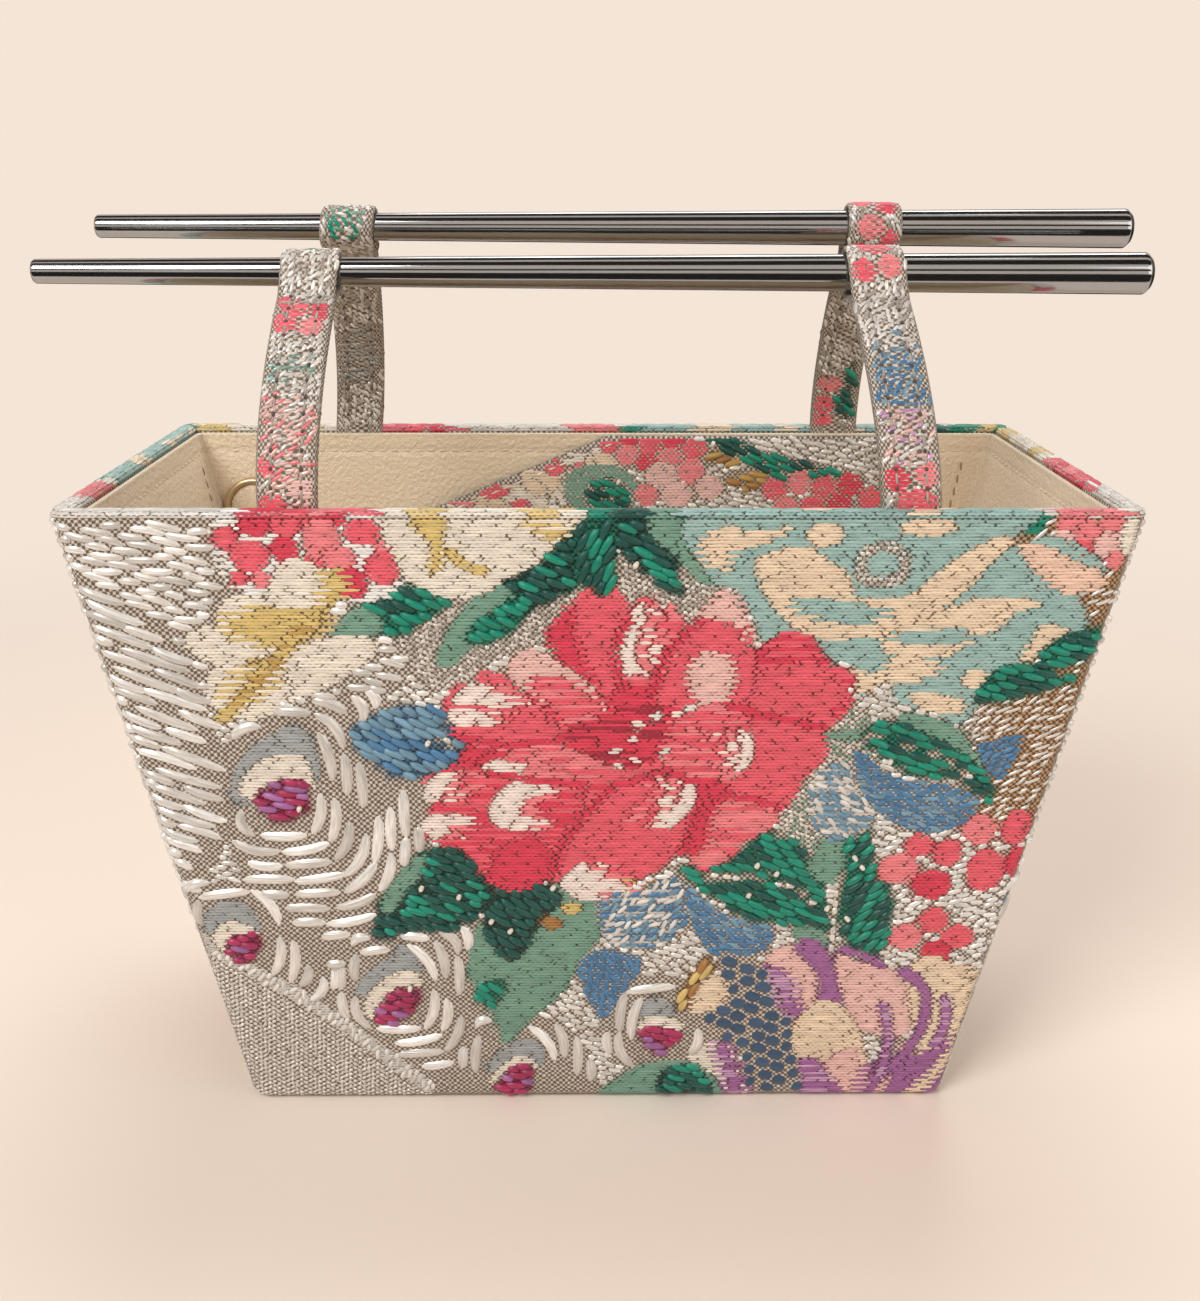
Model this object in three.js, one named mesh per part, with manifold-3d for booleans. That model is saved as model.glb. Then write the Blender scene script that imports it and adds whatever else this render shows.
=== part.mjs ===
// A small flared handbag of brocade over stiff board, carried by two steel chopsticks.
// Each chopstick lies in two brocade strap loops that are sewn between the rim's hem and the satin lining.
// Millimetres, +Z up. The origin is the middle of the base where the bag stands, and the front faces -Y.
import * as THREE from "three";
import { mergeVertices } from "three/addons/utils/BufferGeometryUtils.js";
import Module from "manifold-3d";

const wasm = await Module();
wasm.setup();

// Driving dimensions of the bag, outside the brocade
const TOP_WIDTH = 218;
const TOP_DEPTH = 98;
const BASE_WIDTH = 165;
const BASE_DEPTH = 79;
const HEIGHT = 146;
const CORNER_RADIUS = 4;
const BASE_EDGE = 3;
const RIM_EDGE = 1.2;

// Layers of the wall, from the outside in, with a fitting gap between them
const COVER = 1.0;
const BOARD = 1.6;
const LINING = 0.8;
const GAP = 0.3;
const HEM = 8;
const LINING_DROP = 1.5;
const LINING_RADIUS = 2;
const LEAST_RADIUS = 0.5;

// Chopsticks, round and tapered, with the thick end towards +X
const STICK_LENGTH = 235;
const TIP_DIAMETER = 5.0;
const BUTT_DIAMETER = 8.7;
const TIP_EDGE = 0.5;
const BUTT_BEVEL = 1.1;
const BUTT_DOME = 0.4;
const FRONT_STICK = { y: -13.5, rise: 43, shift: -1 };
const BACK_STICK = { y: 13.5, rise: 51, shift: 4 };

// Strap loops
const STRAP_WIDTH = 12;
const STRAP_LAYER = 1.3;
const STRAP_TAIL = 18;
const STRAP_SPACING = 124;
const STRAP_NECK = 3.5;
const STRAP_UPRIGHT = 18;
const STRAP_INWARD = 9;
const SLIDE_CLEARANCE = 0.3;
const NOTCH_CLEARANCE = 0.5;
const LEAN_FRONT_LEFT = 1.8;
const LEAN_FRONT_RIGHT = -4.3;
const LEAN_BACK_LEFT = 5.5;
const LEAN_BACK_RIGHT = 0.2;

// Inner slip pocket of brocade on the back wall, with a slanted mouth at its upper left
const POCKET_LAYER = 1.4;
const POCKET_SET = 0.5;
const POCKET_DEPTH = 72;
const POCKET_SWELL = 4;
const POCKET_LEFT = -74;
const POCKET_RIGHT = 76;
const MOUTH_START = 3;
const MOUTH_DROP = 31;

// Magnetic snap near the left corner of the back wall
const SNAP_DIAMETER = 16;
const SNAP_HEIGHT = 2.2;
const SNAP_RIM = 1.6;
const SNAP_DISH = 1.1;
const SNAP_FROM_RIM = 21;
const SNAP_FROM_CORNER = 9.8;
const STEM_DIAMETER = 3;
const PLATE_DIAMETER = 11;
const PLATE_LAYER = 0.6;

// Facets of the round forms
const CORNER_STEPS = 5;
const EDGE_STEPS = 3;
const ROUND_STEPS = 32;
const LOOP_STEPS = 24;
const LEG_STEPS = 14;
const MOUTH_STEPS = 6;
const POCKET_STEPS = 6;
const ACROSS_STEPS = 12;

// Distances from the outside of the wall to each layer
const BOARD_OUTSIDE = COVER + GAP;
const BOARD_INSIDE = BOARD_OUTSIDE + BOARD;
const HEM_OUTSIDE = BOARD_INSIDE + GAP;
const HEM_INSIDE = HEM_OUTSIDE + COVER;
const LINING_OUTSIDE = HEM_INSIDE + GAP;
const LINING_INSIDE = LINING_OUTSIDE + LINING;
const LINING_TOP = HEIGHT - LINING_DROP;
const FLOOR_BOARD_TOP = BOARD_OUTSIDE + BOARD;
const LINING_FLOOR = FLOOR_BOARD_TOP + GAP;

const brocade = new THREE.MeshStandardMaterial({ color: 0xc9bfb2, roughness: 0.55, metalness: 0.1 });
const board = new THREE.MeshStandardMaterial({ color: 0x8d8273, roughness: 0.9, metalness: 0 });
const satin = new THREE.MeshStandardMaterial({ color: 0xc9b08a, roughness: 0.4, metalness: 0 });
const steel = new THREE.MeshStandardMaterial({ color: 0xb9bcc0, roughness: 0.12, metalness: 1 });
const gilt = new THREE.MeshStandardMaterial({ color: 0xb59a6c, roughness: 0.3, metalness: 0.9 });

// Half the bag's width and depth at a height, for the sloping walls
function halfWidth(z) {
  return (BASE_WIDTH + ((TOP_WIDTH - BASE_WIDTH) * z) / HEIGHT) / 2;
}

function halfDepth(z) {
  return (BASE_DEPTH + ((TOP_DEPTH - BASE_DEPTH) * z) / HEIGHT) / 2;
}

// A level ring of points round the bag, set in from the outside of the walls, with round corners
function ring(inset, z, radius) {
  const round = Math.max(radius, LEAST_RADIUS);
  const x = halfWidth(z) - inset - round;
  const y = halfDepth(z) - inset - round;
  const corners = [[x, y], [-x, y], [-x, -y], [x, -y]];
  const points = [];
  corners.forEach(([cx, cy], quarter) => {
    for (let step = 0; step <= CORNER_STEPS; step++) {
      const angle = ((quarter + step / CORNER_STEPS) * Math.PI) / 2;
      points.push(new THREE.Vector3(cx + round * Math.cos(angle), cy + round * Math.sin(angle), z));
    }
  });
  return points;
}

// A closed solid through a run of rings, flat across the first and the last one
function loft(rings) {
  const count = rings[0].length;
  const middles = [rings[0], rings.at(-1)].map((points) =>
    points.reduce((sum, p) => sum.add(p), new THREE.Vector3()).divideScalar(count));
  const vertices = [...rings.flat(), ...middles];
  const first = rings.length * count;
  const faces = [];
  for (let i = 0; i < count; i++) {
    const next = (i + 1) % count;
    for (let r = 0; r + 1 < rings.length; r++) {
      const low = r * count;
      const high = low + count;
      faces.push(low + i, low + next, high + next, low + i, high + next, high + i);
    }
    const last = first - count;
    faces.push(first, next, i, first + 1, last + i, last + next);
  }
  return indexed(vertices, faces);
}

function indexed(vertices, faces) {
  const geometry = new THREE.BufferGeometry().setFromPoints(vertices);
  geometry.setIndex(faces);
  return geometry;
}

// A six-sided solid from its four low corners and the four above them, each anticlockwise from above
function sixSided(low, high) {
  const faces = [0, 3, 2, 0, 2, 1, 4, 5, 6, 4, 6, 7];
  for (let i = 0; i < 4; i++) {
    const next = (i + 1) % 4;
    faces.push(i, next, 4 + next, i, 4 + next, 4 + i);
  }
  return indexed([...low, ...high], faces);
}

// Booleans on closed geometry
function solid(geometry) {
  const bare = geometry.clone();
  bare.deleteAttribute("normal");
  bare.deleteAttribute("uv");
  const merged = mergeVertices(bare, 1e-4);
  return new wasm.Manifold(new wasm.Mesh({
    numProp: 3,
    vertProperties: merged.getAttribute("position").array,
    triVerts: new Uint32Array(merged.index.array),
  }));
}

function geometryOf(manifold) {
  const mesh = manifold.getMesh();
  return new THREE.BufferGeometry()
    .setAttribute("position", new THREE.BufferAttribute(new Float32Array(mesh.vertProperties), 3))
    .setIndex(new THREE.BufferAttribute(new Uint32Array(mesh.triVerts), 1));
}

function named(name, geometry, material) {
  const mesh = new THREE.Mesh(geometry, material);
  mesh.name = name;
  return mesh;
}

// Brocade cover: the outside, turned over the rim and down inside it as a hem
function outerCover() {
  const rings = [];
  const corner = (inset) => CORNER_RADIUS - inset;
  const quarter = (step) => ((step / EDGE_STEPS) * Math.PI) / 2;
  for (let step = 0; step <= EDGE_STEPS; step++) {
    const inset = BASE_EDGE * (1 - Math.sin(quarter(step)));
    rings.push(ring(inset, BASE_EDGE * (1 - Math.cos(quarter(step))), corner(inset)));
  }
  for (let step = 0; step <= EDGE_STEPS; step++) {
    const inset = RIM_EDGE * (1 - Math.cos(quarter(step)));
    rings.push(ring(inset, HEIGHT - RIM_EDGE * (1 - Math.sin(quarter(step))), corner(inset)));
  }
  for (let step = 0; step <= EDGE_STEPS; step++) {
    const inset = HEM_INSIDE - RIM_EDGE * (1 - Math.sin(quarter(step)));
    rings.push(ring(inset, HEIGHT - RIM_EDGE * (1 - Math.cos(quarter(step))), LINING_RADIUS + GAP));
  }
  rings.push(ring(HEM_INSIDE, HEIGHT - HEM, LINING_RADIUS + GAP));
  rings.push(ring(HEM_OUTSIDE, HEIGHT - HEM, LINING_RADIUS + GAP));
  rings.push(ring(HEM_OUTSIDE, HEIGHT - COVER, LINING_RADIUS + GAP));
  rings.push(ring(COVER, HEIGHT - COVER, corner(COVER)));
  const insideEdge = Math.max(BASE_EDGE - COVER, LEAST_RADIUS);
  for (let step = EDGE_STEPS; step >= 0; step--) {
    const inset = COVER + insideEdge * (1 - Math.sin(quarter(step)));
    const z = COVER + insideEdge * (1 - Math.cos(quarter(step)));
    rings.push(ring(inset, z, corner(inset)));
  }
  let cover = solid(loft(rings));
  for (const strap of straps) cover = cover.subtract(solid(strapNotch(strap)));
  return named("outer_cover", geometryOf(cover), brocade);
}

// The slit in the hem that a strap's tail comes out of
function strapNotch({ x, side }) {
  const half = STRAP_WIDTH / 2 + NOTCH_CLEARANCE;
  const corners = (z) => wallCorners(x - half, x + half, BOARD_INSIDE, LINING_INSIDE, z, side);
  return sixSided(corners(HEIGHT - HEM - GAP), corners(HEIGHT + GAP));
}

// Four points at one height between two insets of the front (side -1) or back (side 1) wall
function wallCorners(left, right, outside, inside, z, side) {
  const far = side * (halfDepth(z) - outside);
  const near = side * (halfDepth(z) - inside);
  const low = Math.min(far, near);
  const high = Math.max(far, near);
  return [[left, low], [right, low], [right, high], [left, high]].map(([x, y]) => new THREE.Vector3(x, y, z));
}

// Stiff boards inside the cover, one for each wall and one for the base
function boards() {
  const low = FLOOR_BOARD_TOP + GAP;
  const high = HEIGHT - COVER - GAP;
  const frontOrBack = (side) => {
    const corners = (z) => {
      const edge = halfWidth(z) - CORNER_RADIUS;
      return wallCorners(-edge, edge, BOARD_OUTSIDE, BOARD_INSIDE, z, side);
    };
    return sixSided(corners(low), corners(high));
  };
  const leftOrRight = (side) => {
    const corners = (z) => {
      const far = side * (halfWidth(z) - BOARD_OUTSIDE);
      const near = side * (halfWidth(z) - BOARD_INSIDE);
      const [x0, x1] = [Math.min(far, near), Math.max(far, near)];
      const y = halfDepth(z) - CORNER_RADIUS;
      return [[x0, -y], [x1, -y], [x1, y], [x0, y]].map(([px, py]) => new THREE.Vector3(px, py, z));
    };
    return sixSided(corners(low), corners(high));
  };
  const floorRing = (z) => ring(BASE_EDGE + GAP, z, CORNER_RADIUS - GAP);
  return [
    named("front_board", frontOrBack(-1), board),
    named("back_board", frontOrBack(1), board),
    named("left_board", leftOrRight(-1), board),
    named("right_board", leftOrRight(1), board),
    named("base_board", loft([floorRing(BOARD_OUTSIDE), floorRing(FLOOR_BOARD_TOP)]), board),
  ];
}

// Satin lining: an open box that hangs inside the hem, pierced for the snap's stem
function lining() {
  const shell = loft([
    ring(LINING_OUTSIDE, LINING_FLOOR, LINING_RADIUS),
    ring(LINING_OUTSIDE, LINING_TOP, LINING_RADIUS),
    ring(LINING_INSIDE, LINING_TOP, LINING_RADIUS - LINING),
    ring(LINING_INSIDE, LINING_FLOOR + LINING, LINING_RADIUS - LINING),
  ]);
  const hole = turned([[0, -HEM_INSIDE], [STEM_DIAMETER / 2 + GAP, -HEM_INSIDE],
    [STEM_DIAMETER / 2 + GAP, SNAP_HEIGHT], [0, SNAP_HEIGHT]]);
  return named("lining", geometryOf(solid(shell).subtract(solid(onBackWall(hole)))), satin);
}

// A solid of revolution from [radius, height] pairs, its axis along +Y
function turned(profile) {
  return new THREE.LatheGeometry(profile.map(([r, h]) => new THREE.Vector2(r, h)), ROUND_STEPS);
}

// Stands a turned piece on the lining's back wall, where the snap is, with its axis out of the wall
const SNAP_Z = HEIGHT - SNAP_FROM_RIM;
function onBackWall(geometry) {
  const slope = Math.atan((TOP_DEPTH - BASE_DEPTH) / 2 / HEIGHT);
  const x = -(halfWidth(SNAP_Z) - LINING_INSIDE - SNAP_FROM_CORNER);
  return geometry.clone()
    .rotateZ(Math.PI)
    .rotateX(-slope)
    .translate(x, halfDepth(SNAP_Z) - LINING_INSIDE, SNAP_Z);
}

// Magnetic snap: a dished cap with a stem through the lining, and the plate that the stem holds behind it
function snap() {
  const radius = SNAP_DIAMETER / 2;
  const stem = STEM_DIAMETER / 2;
  const plateNear = -LINING - GAP;
  const plateFar = plateNear - PLATE_LAYER;
  const shoulder = SNAP_HEIGHT - SNAP_RIM / 3;
  const cap = [[0, plateFar], [stem, plateFar], [stem, GAP], [radius, GAP], [radius, shoulder],
    [radius - SNAP_RIM / 2, SNAP_HEIGHT], [radius - SNAP_RIM, shoulder],
    [radius - SNAP_RIM, SNAP_HEIGHT - SNAP_DISH], [0, SNAP_HEIGHT - SNAP_DISH]];
  const bore = stem + GAP;
  const plate = [[bore, plateFar], [PLATE_DIAMETER / 2, plateFar], [PLATE_DIAMETER / 2, plateNear],
    [bore, plateNear], [bore, plateFar]];
  return [
    named("snap_cap", onBackWall(turned(cap)), gilt),
    named("snap_back_plate", onBackWall(turned(plate)), gilt),
  ];
}

// Chopsticks: tapered rods along X, with an eased tip and a bevelled, slightly domed butt
function stickRadius(along) {
  return (TIP_DIAMETER + ((BUTT_DIAMETER - TIP_DIAMETER) * along) / STICK_LENGTH) / 2;
}

function stickTip(stick) {
  return stick.shift - STICK_LENGTH / 2;
}

function chopstick(name, stick) {
  const butt = stickRadius(STICK_LENGTH) - BUTT_BEVEL;
  const profile = [[0, 0], [stickRadius(0) - TIP_EDGE, 0], [stickRadius(TIP_EDGE), TIP_EDGE],
    [stickRadius(STICK_LENGTH - BUTT_BEVEL - BUTT_DOME), STICK_LENGTH - BUTT_BEVEL - BUTT_DOME],
    [butt, STICK_LENGTH - BUTT_DOME], [0, STICK_LENGTH]];
  const mesh = named(name, turned(profile), steel);
  mesh.rotation.z = -Math.PI / 2;
  mesh.position.set(stickTip(stick), stick.y, HEIGHT + stick.rise);
  return mesh;
}

// The point where a line from outside a circle touches it, on the left (1) or right (-1) of the way in
function touchPoint(from, centre, radius, hand) {
  const toCentre = centre.clone().sub(from);
  const swing = hand * Math.asin(Math.min(1, radius / toCentre.length()));
  const reach = Math.sqrt(Math.max(toCentre.lengthSq() - radius * radius, 0));
  return toCentre.setLength(reach).rotateAround(new THREE.Vector2(), swing).add(from);
}

// A strap's side view: a pressed tail in the wall, a doubled leg, and a loop round the chopstick
function strapProfile({ x, side, stick, lean }) {
  const bore = stickRadius(x + lean + STRAP_WIDTH / 2 - stickTip(stick)) + SLIDE_CLEARANCE;
  const outside = bore + STRAP_LAYER;
  const centre = new THREE.Vector2(stick.y, HEIGHT + stick.rise);
  const inWall = (z) => new THREE.Vector2(side * (halfDepth(z) - (HEM_OUTSIDE + HEM_INSIDE) / 2), z);
  const foot = inWall(HEIGHT - STRAP_TAIL);
  const exit = inWall(HEIGHT);
  const above = exit.clone().add(exit.clone().sub(foot).setLength(STRAP_UPRIGHT));
  const inward = centre.clone().sub(above).normalize();
  const neck = centre.clone().sub(inward.clone().multiplyScalar(outside + STRAP_NECK));
  const below = neck.clone().sub(inward.clone().multiplyScalar(STRAP_INWARD));
  const leg = new THREE.CubicBezierCurve(exit, above, below, neck).getSpacedPoints(LEG_STEPS);
  const line = [foot, ...leg];
  const thick = (i) => (i < 2 ? COVER : 2 * STRAP_LAYER) / 2;
  const edge = (hand) => line.map((p, i) => {
    const way = line[Math.min(i + 1, line.length - 1)].clone().sub(line[Math.max(i - 1, 0)]).normalize();
    return new THREE.Vector2(-way.y, way.x).multiplyScalar(hand * thick(i)).add(p);
  });
  const left = edge(1);
  const right = edge(-1);
  const leftTouch = touchPoint(left.at(-1), centre, outside, 1);
  const rightTouch = touchPoint(right.at(-1), centre, outside, -1);
  const from = rightTouch.clone().sub(centre).angle();
  const to = leftTouch.clone().sub(centre).angle();
  const turn = (to - from + 2 * Math.PI) % (2 * Math.PI);
  const loop = Array.from({ length: LOOP_STEPS + 1 }, (_, i) => {
    const angle = from + (turn * i) / LOOP_STEPS;
    return new THREE.Vector2(Math.cos(angle), Math.sin(angle)).multiplyScalar(outside).add(centre);
  });
  const shape = new THREE.Shape([...right, ...loop, ...left.reverse()]);
  shape.holes.push(new THREE.Path().absarc(centre.x, centre.y, bore, 0, 2 * Math.PI, true));
  return shape;
}

// A strap is its side view drawn out to its width, leaning sideways above the rim
function strapLoop(strap) {
  const geometry = new THREE.ExtrudeGeometry(strapProfile(strap), {
    depth: STRAP_WIDTH, bevelEnabled: false, curveSegments: LOOP_STEPS,
  });
  const alongX = new THREE.Vector3(1, 0, 0);
  const upright = new THREE.Matrix4()
    .makeBasis(new THREE.Vector3(0, 1, 0), new THREE.Vector3(0, 0, 1), alongX)
    .setPosition(strap.x - STRAP_WIDTH / 2, 0, 0);
  geometry.applyMatrix4(upright);
  const place = geometry.getAttribute("position");
  for (let i = 0; i < place.count; i++) {
    const share = Math.max(place.getZ(i) - HEIGHT, 0) / strap.stick.rise;
    place.setX(i, place.getX(i) + strap.lean * share);
  }
  return named(strap.name, geometry, brocade);
}

const straps = [
  { name: "strap_front_left", x: -STRAP_SPACING / 2, side: -1, stick: FRONT_STICK, lean: LEAN_FRONT_LEFT },
  { name: "strap_front_right", x: STRAP_SPACING / 2, side: -1, stick: FRONT_STICK, lean: LEAN_FRONT_RIGHT },
  { name: "strap_back_left", x: -STRAP_SPACING / 2, side: 1, stick: BACK_STICK, lean: LEAN_BACK_LEFT },
  { name: "strap_back_right", x: STRAP_SPACING / 2, side: 1, stick: BACK_STICK, lean: LEAN_BACK_RIGHT },
];

// Inner pocket: a panel on the back lining, sewn down round its edges and a little slack along its mouth
function innerPocket() {
  const top = LINING_TOP - POCKET_SET;
  const rows = [];
  for (let j = 0; j <= MOUTH_STEPS; j++) {
    const share = j / MOUTH_STEPS;
    rows.push([MOUTH_DROP * share, MOUTH_START + (POCKET_LEFT - MOUTH_START) * share]);
  }
  for (let j = 1; j <= POCKET_STEPS; j++) {
    rows.push([MOUTH_DROP + ((POCKET_DEPTH - MOUTH_DROP) * j) / POCKET_STEPS, POCKET_LEFT]);
  }
  const sheet = (layer) => rows.flatMap(([drop, left]) =>
    Array.from({ length: ACROSS_STEPS + 1 }, (_, i) => {
      const across = i / ACROSS_STEPS;
      const swell = POCKET_SWELL * Math.sin((Math.PI * drop) / POCKET_DEPTH) * Math.cos((Math.PI / 2) * across);
      const y = halfDepth(top - drop) - LINING_INSIDE - GAP - swell - layer;
      return new THREE.Vector3(left + (POCKET_RIGHT - left) * across, y, top - drop);
    }));
  const count = ACROSS_STEPS + 1;
  const last = rows.length - 1;
  const back = count * rows.length;
  const faces = [];
  const quad = (a, b, c, d) => faces.push(a, b, c, a, c, d);
  for (let j = 0; j < last; j++) {
    for (let i = 0; i < ACROSS_STEPS; i++) {
      const a = j * count + i;
      quad(a, a + count, a + count + 1, a + 1);
      quad(back + a, back + a + 1, back + a + count + 1, back + a + count);
    }
    const left = j * count;
    const right = left + ACROSS_STEPS;
    quad(left + count, left, back + left, back + left + count);
    quad(right, right + count, back + right + count, back + right);
  }
  for (let i = 0; i < ACROSS_STEPS; i++) {
    const low = last * count + i;
    quad(i, i + 1, back + i + 1, back + i);
    quad(low + 1, low, back + low, back + low + 1);
  }
  return named("inner_pocket", indexed([...sheet(POCKET_LAYER), ...sheet(0)], faces), brocade);
}

const bag = new THREE.Group();
bag.add(outerCover(), ...boards(), lining(), ...snap(), innerPocket());
bag.add(...straps.map(strapLoop));
bag.add(chopstick("chopstick_front", FRONT_STICK), chopstick("chopstick_back", BACK_STICK));

export default bag;
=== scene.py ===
# A brocade bag carried by two steel chopsticks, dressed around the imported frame.
# Lengths are millimetres until a mesh is made. Axes are the frame's: +Z up, and the front faces -Y.
import math

import bpy
import numpy as np
from mathutils import Matrix, Vector


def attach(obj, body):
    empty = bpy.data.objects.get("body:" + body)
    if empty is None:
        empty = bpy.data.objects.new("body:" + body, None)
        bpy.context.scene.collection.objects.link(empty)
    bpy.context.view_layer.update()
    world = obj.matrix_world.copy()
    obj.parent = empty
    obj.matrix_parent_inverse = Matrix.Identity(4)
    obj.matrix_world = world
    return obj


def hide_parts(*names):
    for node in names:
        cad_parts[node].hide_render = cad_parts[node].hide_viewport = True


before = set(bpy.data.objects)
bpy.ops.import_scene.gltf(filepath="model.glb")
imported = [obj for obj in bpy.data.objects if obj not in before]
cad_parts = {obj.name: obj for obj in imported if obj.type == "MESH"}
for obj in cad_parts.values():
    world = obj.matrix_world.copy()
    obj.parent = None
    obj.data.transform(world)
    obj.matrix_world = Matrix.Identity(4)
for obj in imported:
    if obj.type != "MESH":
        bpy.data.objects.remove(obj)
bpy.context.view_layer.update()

MM = 0.001

# Driving dimensions of the bag, the same as the part's
TOP_WIDTH, TOP_DEPTH = 218.0, 98.0
BASE_WIDTH, BASE_DEPTH = 165.0, 79.0
HEIGHT = 146.0
CORNER = 4.0
BASE_EDGE = 3.0
RIM_EDGE = 1.2
COVER = 1.0
HEM_OUTSIDE, HEM_INSIDE = 3.2, 4.2
HEM = 8.0
LINING_OUTSIDE, LINING_INSIDE = 4.5, 5.3
LINING_TOP = 144.5
LINING_FLOOR_UNDER, LINING_FLOOR = 3.2, 4.0

# Chopsticks and strap loops
STICK_LENGTH = 235.0
TIP_RADIUS, BUTT_RADIUS = 2.5, 4.35
STICKS = {
    "front": {"y": -13.5, "rise": 43.0, "tip": -118.5},
    "back": {"y": 13.5, "rise": 51.0, "tip": -113.5},
}
STRAP_WIDTH = 12.0
STRAP_LAYER = 1.3
STRAP_TAIL = 10.0
STRAP_X = 62.0
STRAP_NECK, STRAP_UPRIGHT, STRAP_INWARD = 3.5, 18.0, 9.0
SLIDE_CLEARANCE = 0.3

# Inner pocket and snap
POCKET_TOP, POCKET_DEPTH = 144.0, 72.0
POCKET_LEFT, POCKET_RIGHT = -74.0, 76.0
POCKET_LAYER, POCKET_SWELL, POCKET_GAP = 1.4, 4.0, 0.3
MOUTH_START, MOUTH_DROP = 3.0, 31.0
SNAP_Z, SNAP_FROM_CORNER = 125.0, 9.8
SNAP_RADIUS, SNAP_HEIGHT, SNAP_RIM, SNAP_DISH = 8.0, 2.2, 1.6, 1.1

# Camera, fitted to the photograph's 1200 x 1301 frame
IMAGE_HEIGHT = 1301
FOCAL_PIXELS = 1345.2
CAMERA_PLACE = (-2.86, -306.64, 209.25)
CAMERA_DOWN, CAMERA_TURN, CAMERA_ROLL = 19.653, 0.636, 0.157
SENSOR = 36.0

# Silk and cloth colours, sRGB
COLOURS = {
    "coral": (240, 96, 112),
    "deep": (226, 60, 86),
    "blush": (245, 134, 140),
    "pink": (243, 196, 188),
    "white": (242, 232, 216),
    "gold": (224, 196, 124),
    "old_gold": (196, 158, 88),
    "emerald": (8, 142, 116),
    "dark": (16, 84, 74),
    "sage": (122, 164, 144),
    "blue": (80, 130, 170),
    "steel_blue": (118, 156, 178),
    "teal": (160, 194, 188),
    "cream": (242, 218, 188),
    "peach": (246, 208, 184),
    "navy": (62, 88, 116),
    "purple": (168, 104, 160),
    "lilac": (206, 160, 196),
    "brown": (172, 122, 68),
    "magenta": (176, 44, 92),
    "grey": (168, 172, 172),
    "silver": (230, 225, 218),
    "bright": (244, 241, 236),
    "tip": (248, 232, 222),
    "shade": (176, 166, 156),
    "maroon": (168, 40, 62),
    # painted shade for the needle holes on the straps
    "hole": (88, 74, 64),
}
GROUND_SILVER = (208, 198, 186)
GROUND_BROWN = (190, 152, 112)
# Painted shade: the ground net's colour is multiplied by this in the gaps between its stitches
GAP_SHADE = (0.23, 0.18, 0.14, 1.0)
# Painted shade: ground under silk and leaves takes their first colour times this
UNDER_SHADE = 0.7
SATIN = (238, 219, 190)
STEEL = (168, 170, 172)
# Steel for the chopsticks' tips and butt bevels, darkened as a painted dark reflection
DARK_REFLECTION_STEEL = (52, 50, 48)
GILT = (214, 194, 160)
PALE = (244, 229, 215)

# Numbers that scatter whole-number keys, for repeatable chance
SCATTER = (12.9898, 78.233, 37.719)
SCATTER_START, SCATTER_SPREAD = 0.137, 43758.5453

# Waves of the woven cloths, in mm
NET_PITCH = 1.35
TWILL_PITCH = 0.9


def linear(colour):
    share = np.array(colour, float) / 255
    return np.where(share <= 0.04045, share / 12.92, ((share + 0.055) / 1.055) ** 2.4)


def chance(*keys):
    """A repeatable number from 0 to 1 for whole-number keys, which may be arrays."""
    mixed = sum(np.asarray(key, float) * factor for key, factor in zip(keys, SCATTER))
    return np.modf(np.abs(np.sin(mixed + SCATTER_START)) * SCATTER_SPREAD)[0]


# Materials

def add(tree, kind, inputs=None, **settings):
    """A shader node with its settings, its values and its links."""
    node = tree.nodes.new(kind)
    for key, value in settings.items():
        setattr(node, key, value)
    for key, value in (inputs or {}).items():
        if isinstance(value, bpy.types.NodeSocket):
            tree.links.new(value, node.inputs[key])
        else:
            node.inputs[key].default_value = value
    return node


def material(name, **values):
    """A new principled material, with its tree and shader."""
    made = bpy.data.materials.new(name)
    made.use_nodes = True
    shader = made.node_tree.nodes["Principled BSDF"]
    for key, value in values.items():
        shader.inputs[key.replace("_", " ")].default_value = value
    return made, made.node_tree, shader


def maths(tree, operation, first, second=0.0):
    return add(tree, "ShaderNodeMath", {0: first, 1: second}, operation=operation).outputs[0]


def mapped_noise(tree, uv, scale, detail=2.0):
    place = add(tree, "ShaderNodeUVMap", uv_map=uv).outputs["UV"]
    moved = add(tree, "ShaderNodeMapping", {"Vector": place, "Scale": scale}).outputs["Vector"]
    return add(tree, "ShaderNodeTexNoise", {"Vector": moved, "Scale": 1.0, "Detail": detail}).outputs["Fac"]


def tinted(tree, shader, colour, tone):
    """Gives a shader a colour times a tone."""
    made = add(tree, "ShaderNodeVectorMath", {0: colour, 1: tone}, operation="MULTIPLY")
    tree.links.new(made.outputs["Vector"], shader.inputs["Base Color"])


def bumped(tree, shader, height, strength, distance):
    """Gives a shader a bump from a height."""
    bump = add(tree, "ShaderNodeBump", {"Height": height, "Strength": strength, "Distance": distance})
    tree.links.new(bump.outputs["Normal"], shader.inputs["Normal"])


def seen_share(tree):
    """1 for rays from the camera, also by way of a reflection or through glass, and 0 for the rest."""
    path = add(tree, "ShaderNodeLightPath")
    seen = maths(tree, "MAXIMUM", path.outputs["Is Camera Ray"], path.outputs["Is Glossy Ray"])
    return maths(tree, "MAXIMUM", seen, path.outputs["Is Transmission Ray"])


def thread_material(name, lines, **values):
    """Floats of thread, coloured piece by piece, with fine strands along them."""
    made, tree, shader = material(name, **values)
    strands = mapped_noise(tree, "thread", (0.22, lines, 1.0))
    tone = add(tree, "ShaderNodeMapRange", {"Value": strands, "From Min": 0.3, "From Max": 0.7,
                                            "To Min": 0.72, "To Max": 1.12})
    own = add(tree, "ShaderNodeAttribute", attribute_name="silk").outputs["Color"]
    tinted(tree, shader, own, tone.outputs["Result"])
    bumped(tree, shader, strands, strength=0.55, distance=0.00025)
    return made


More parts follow.
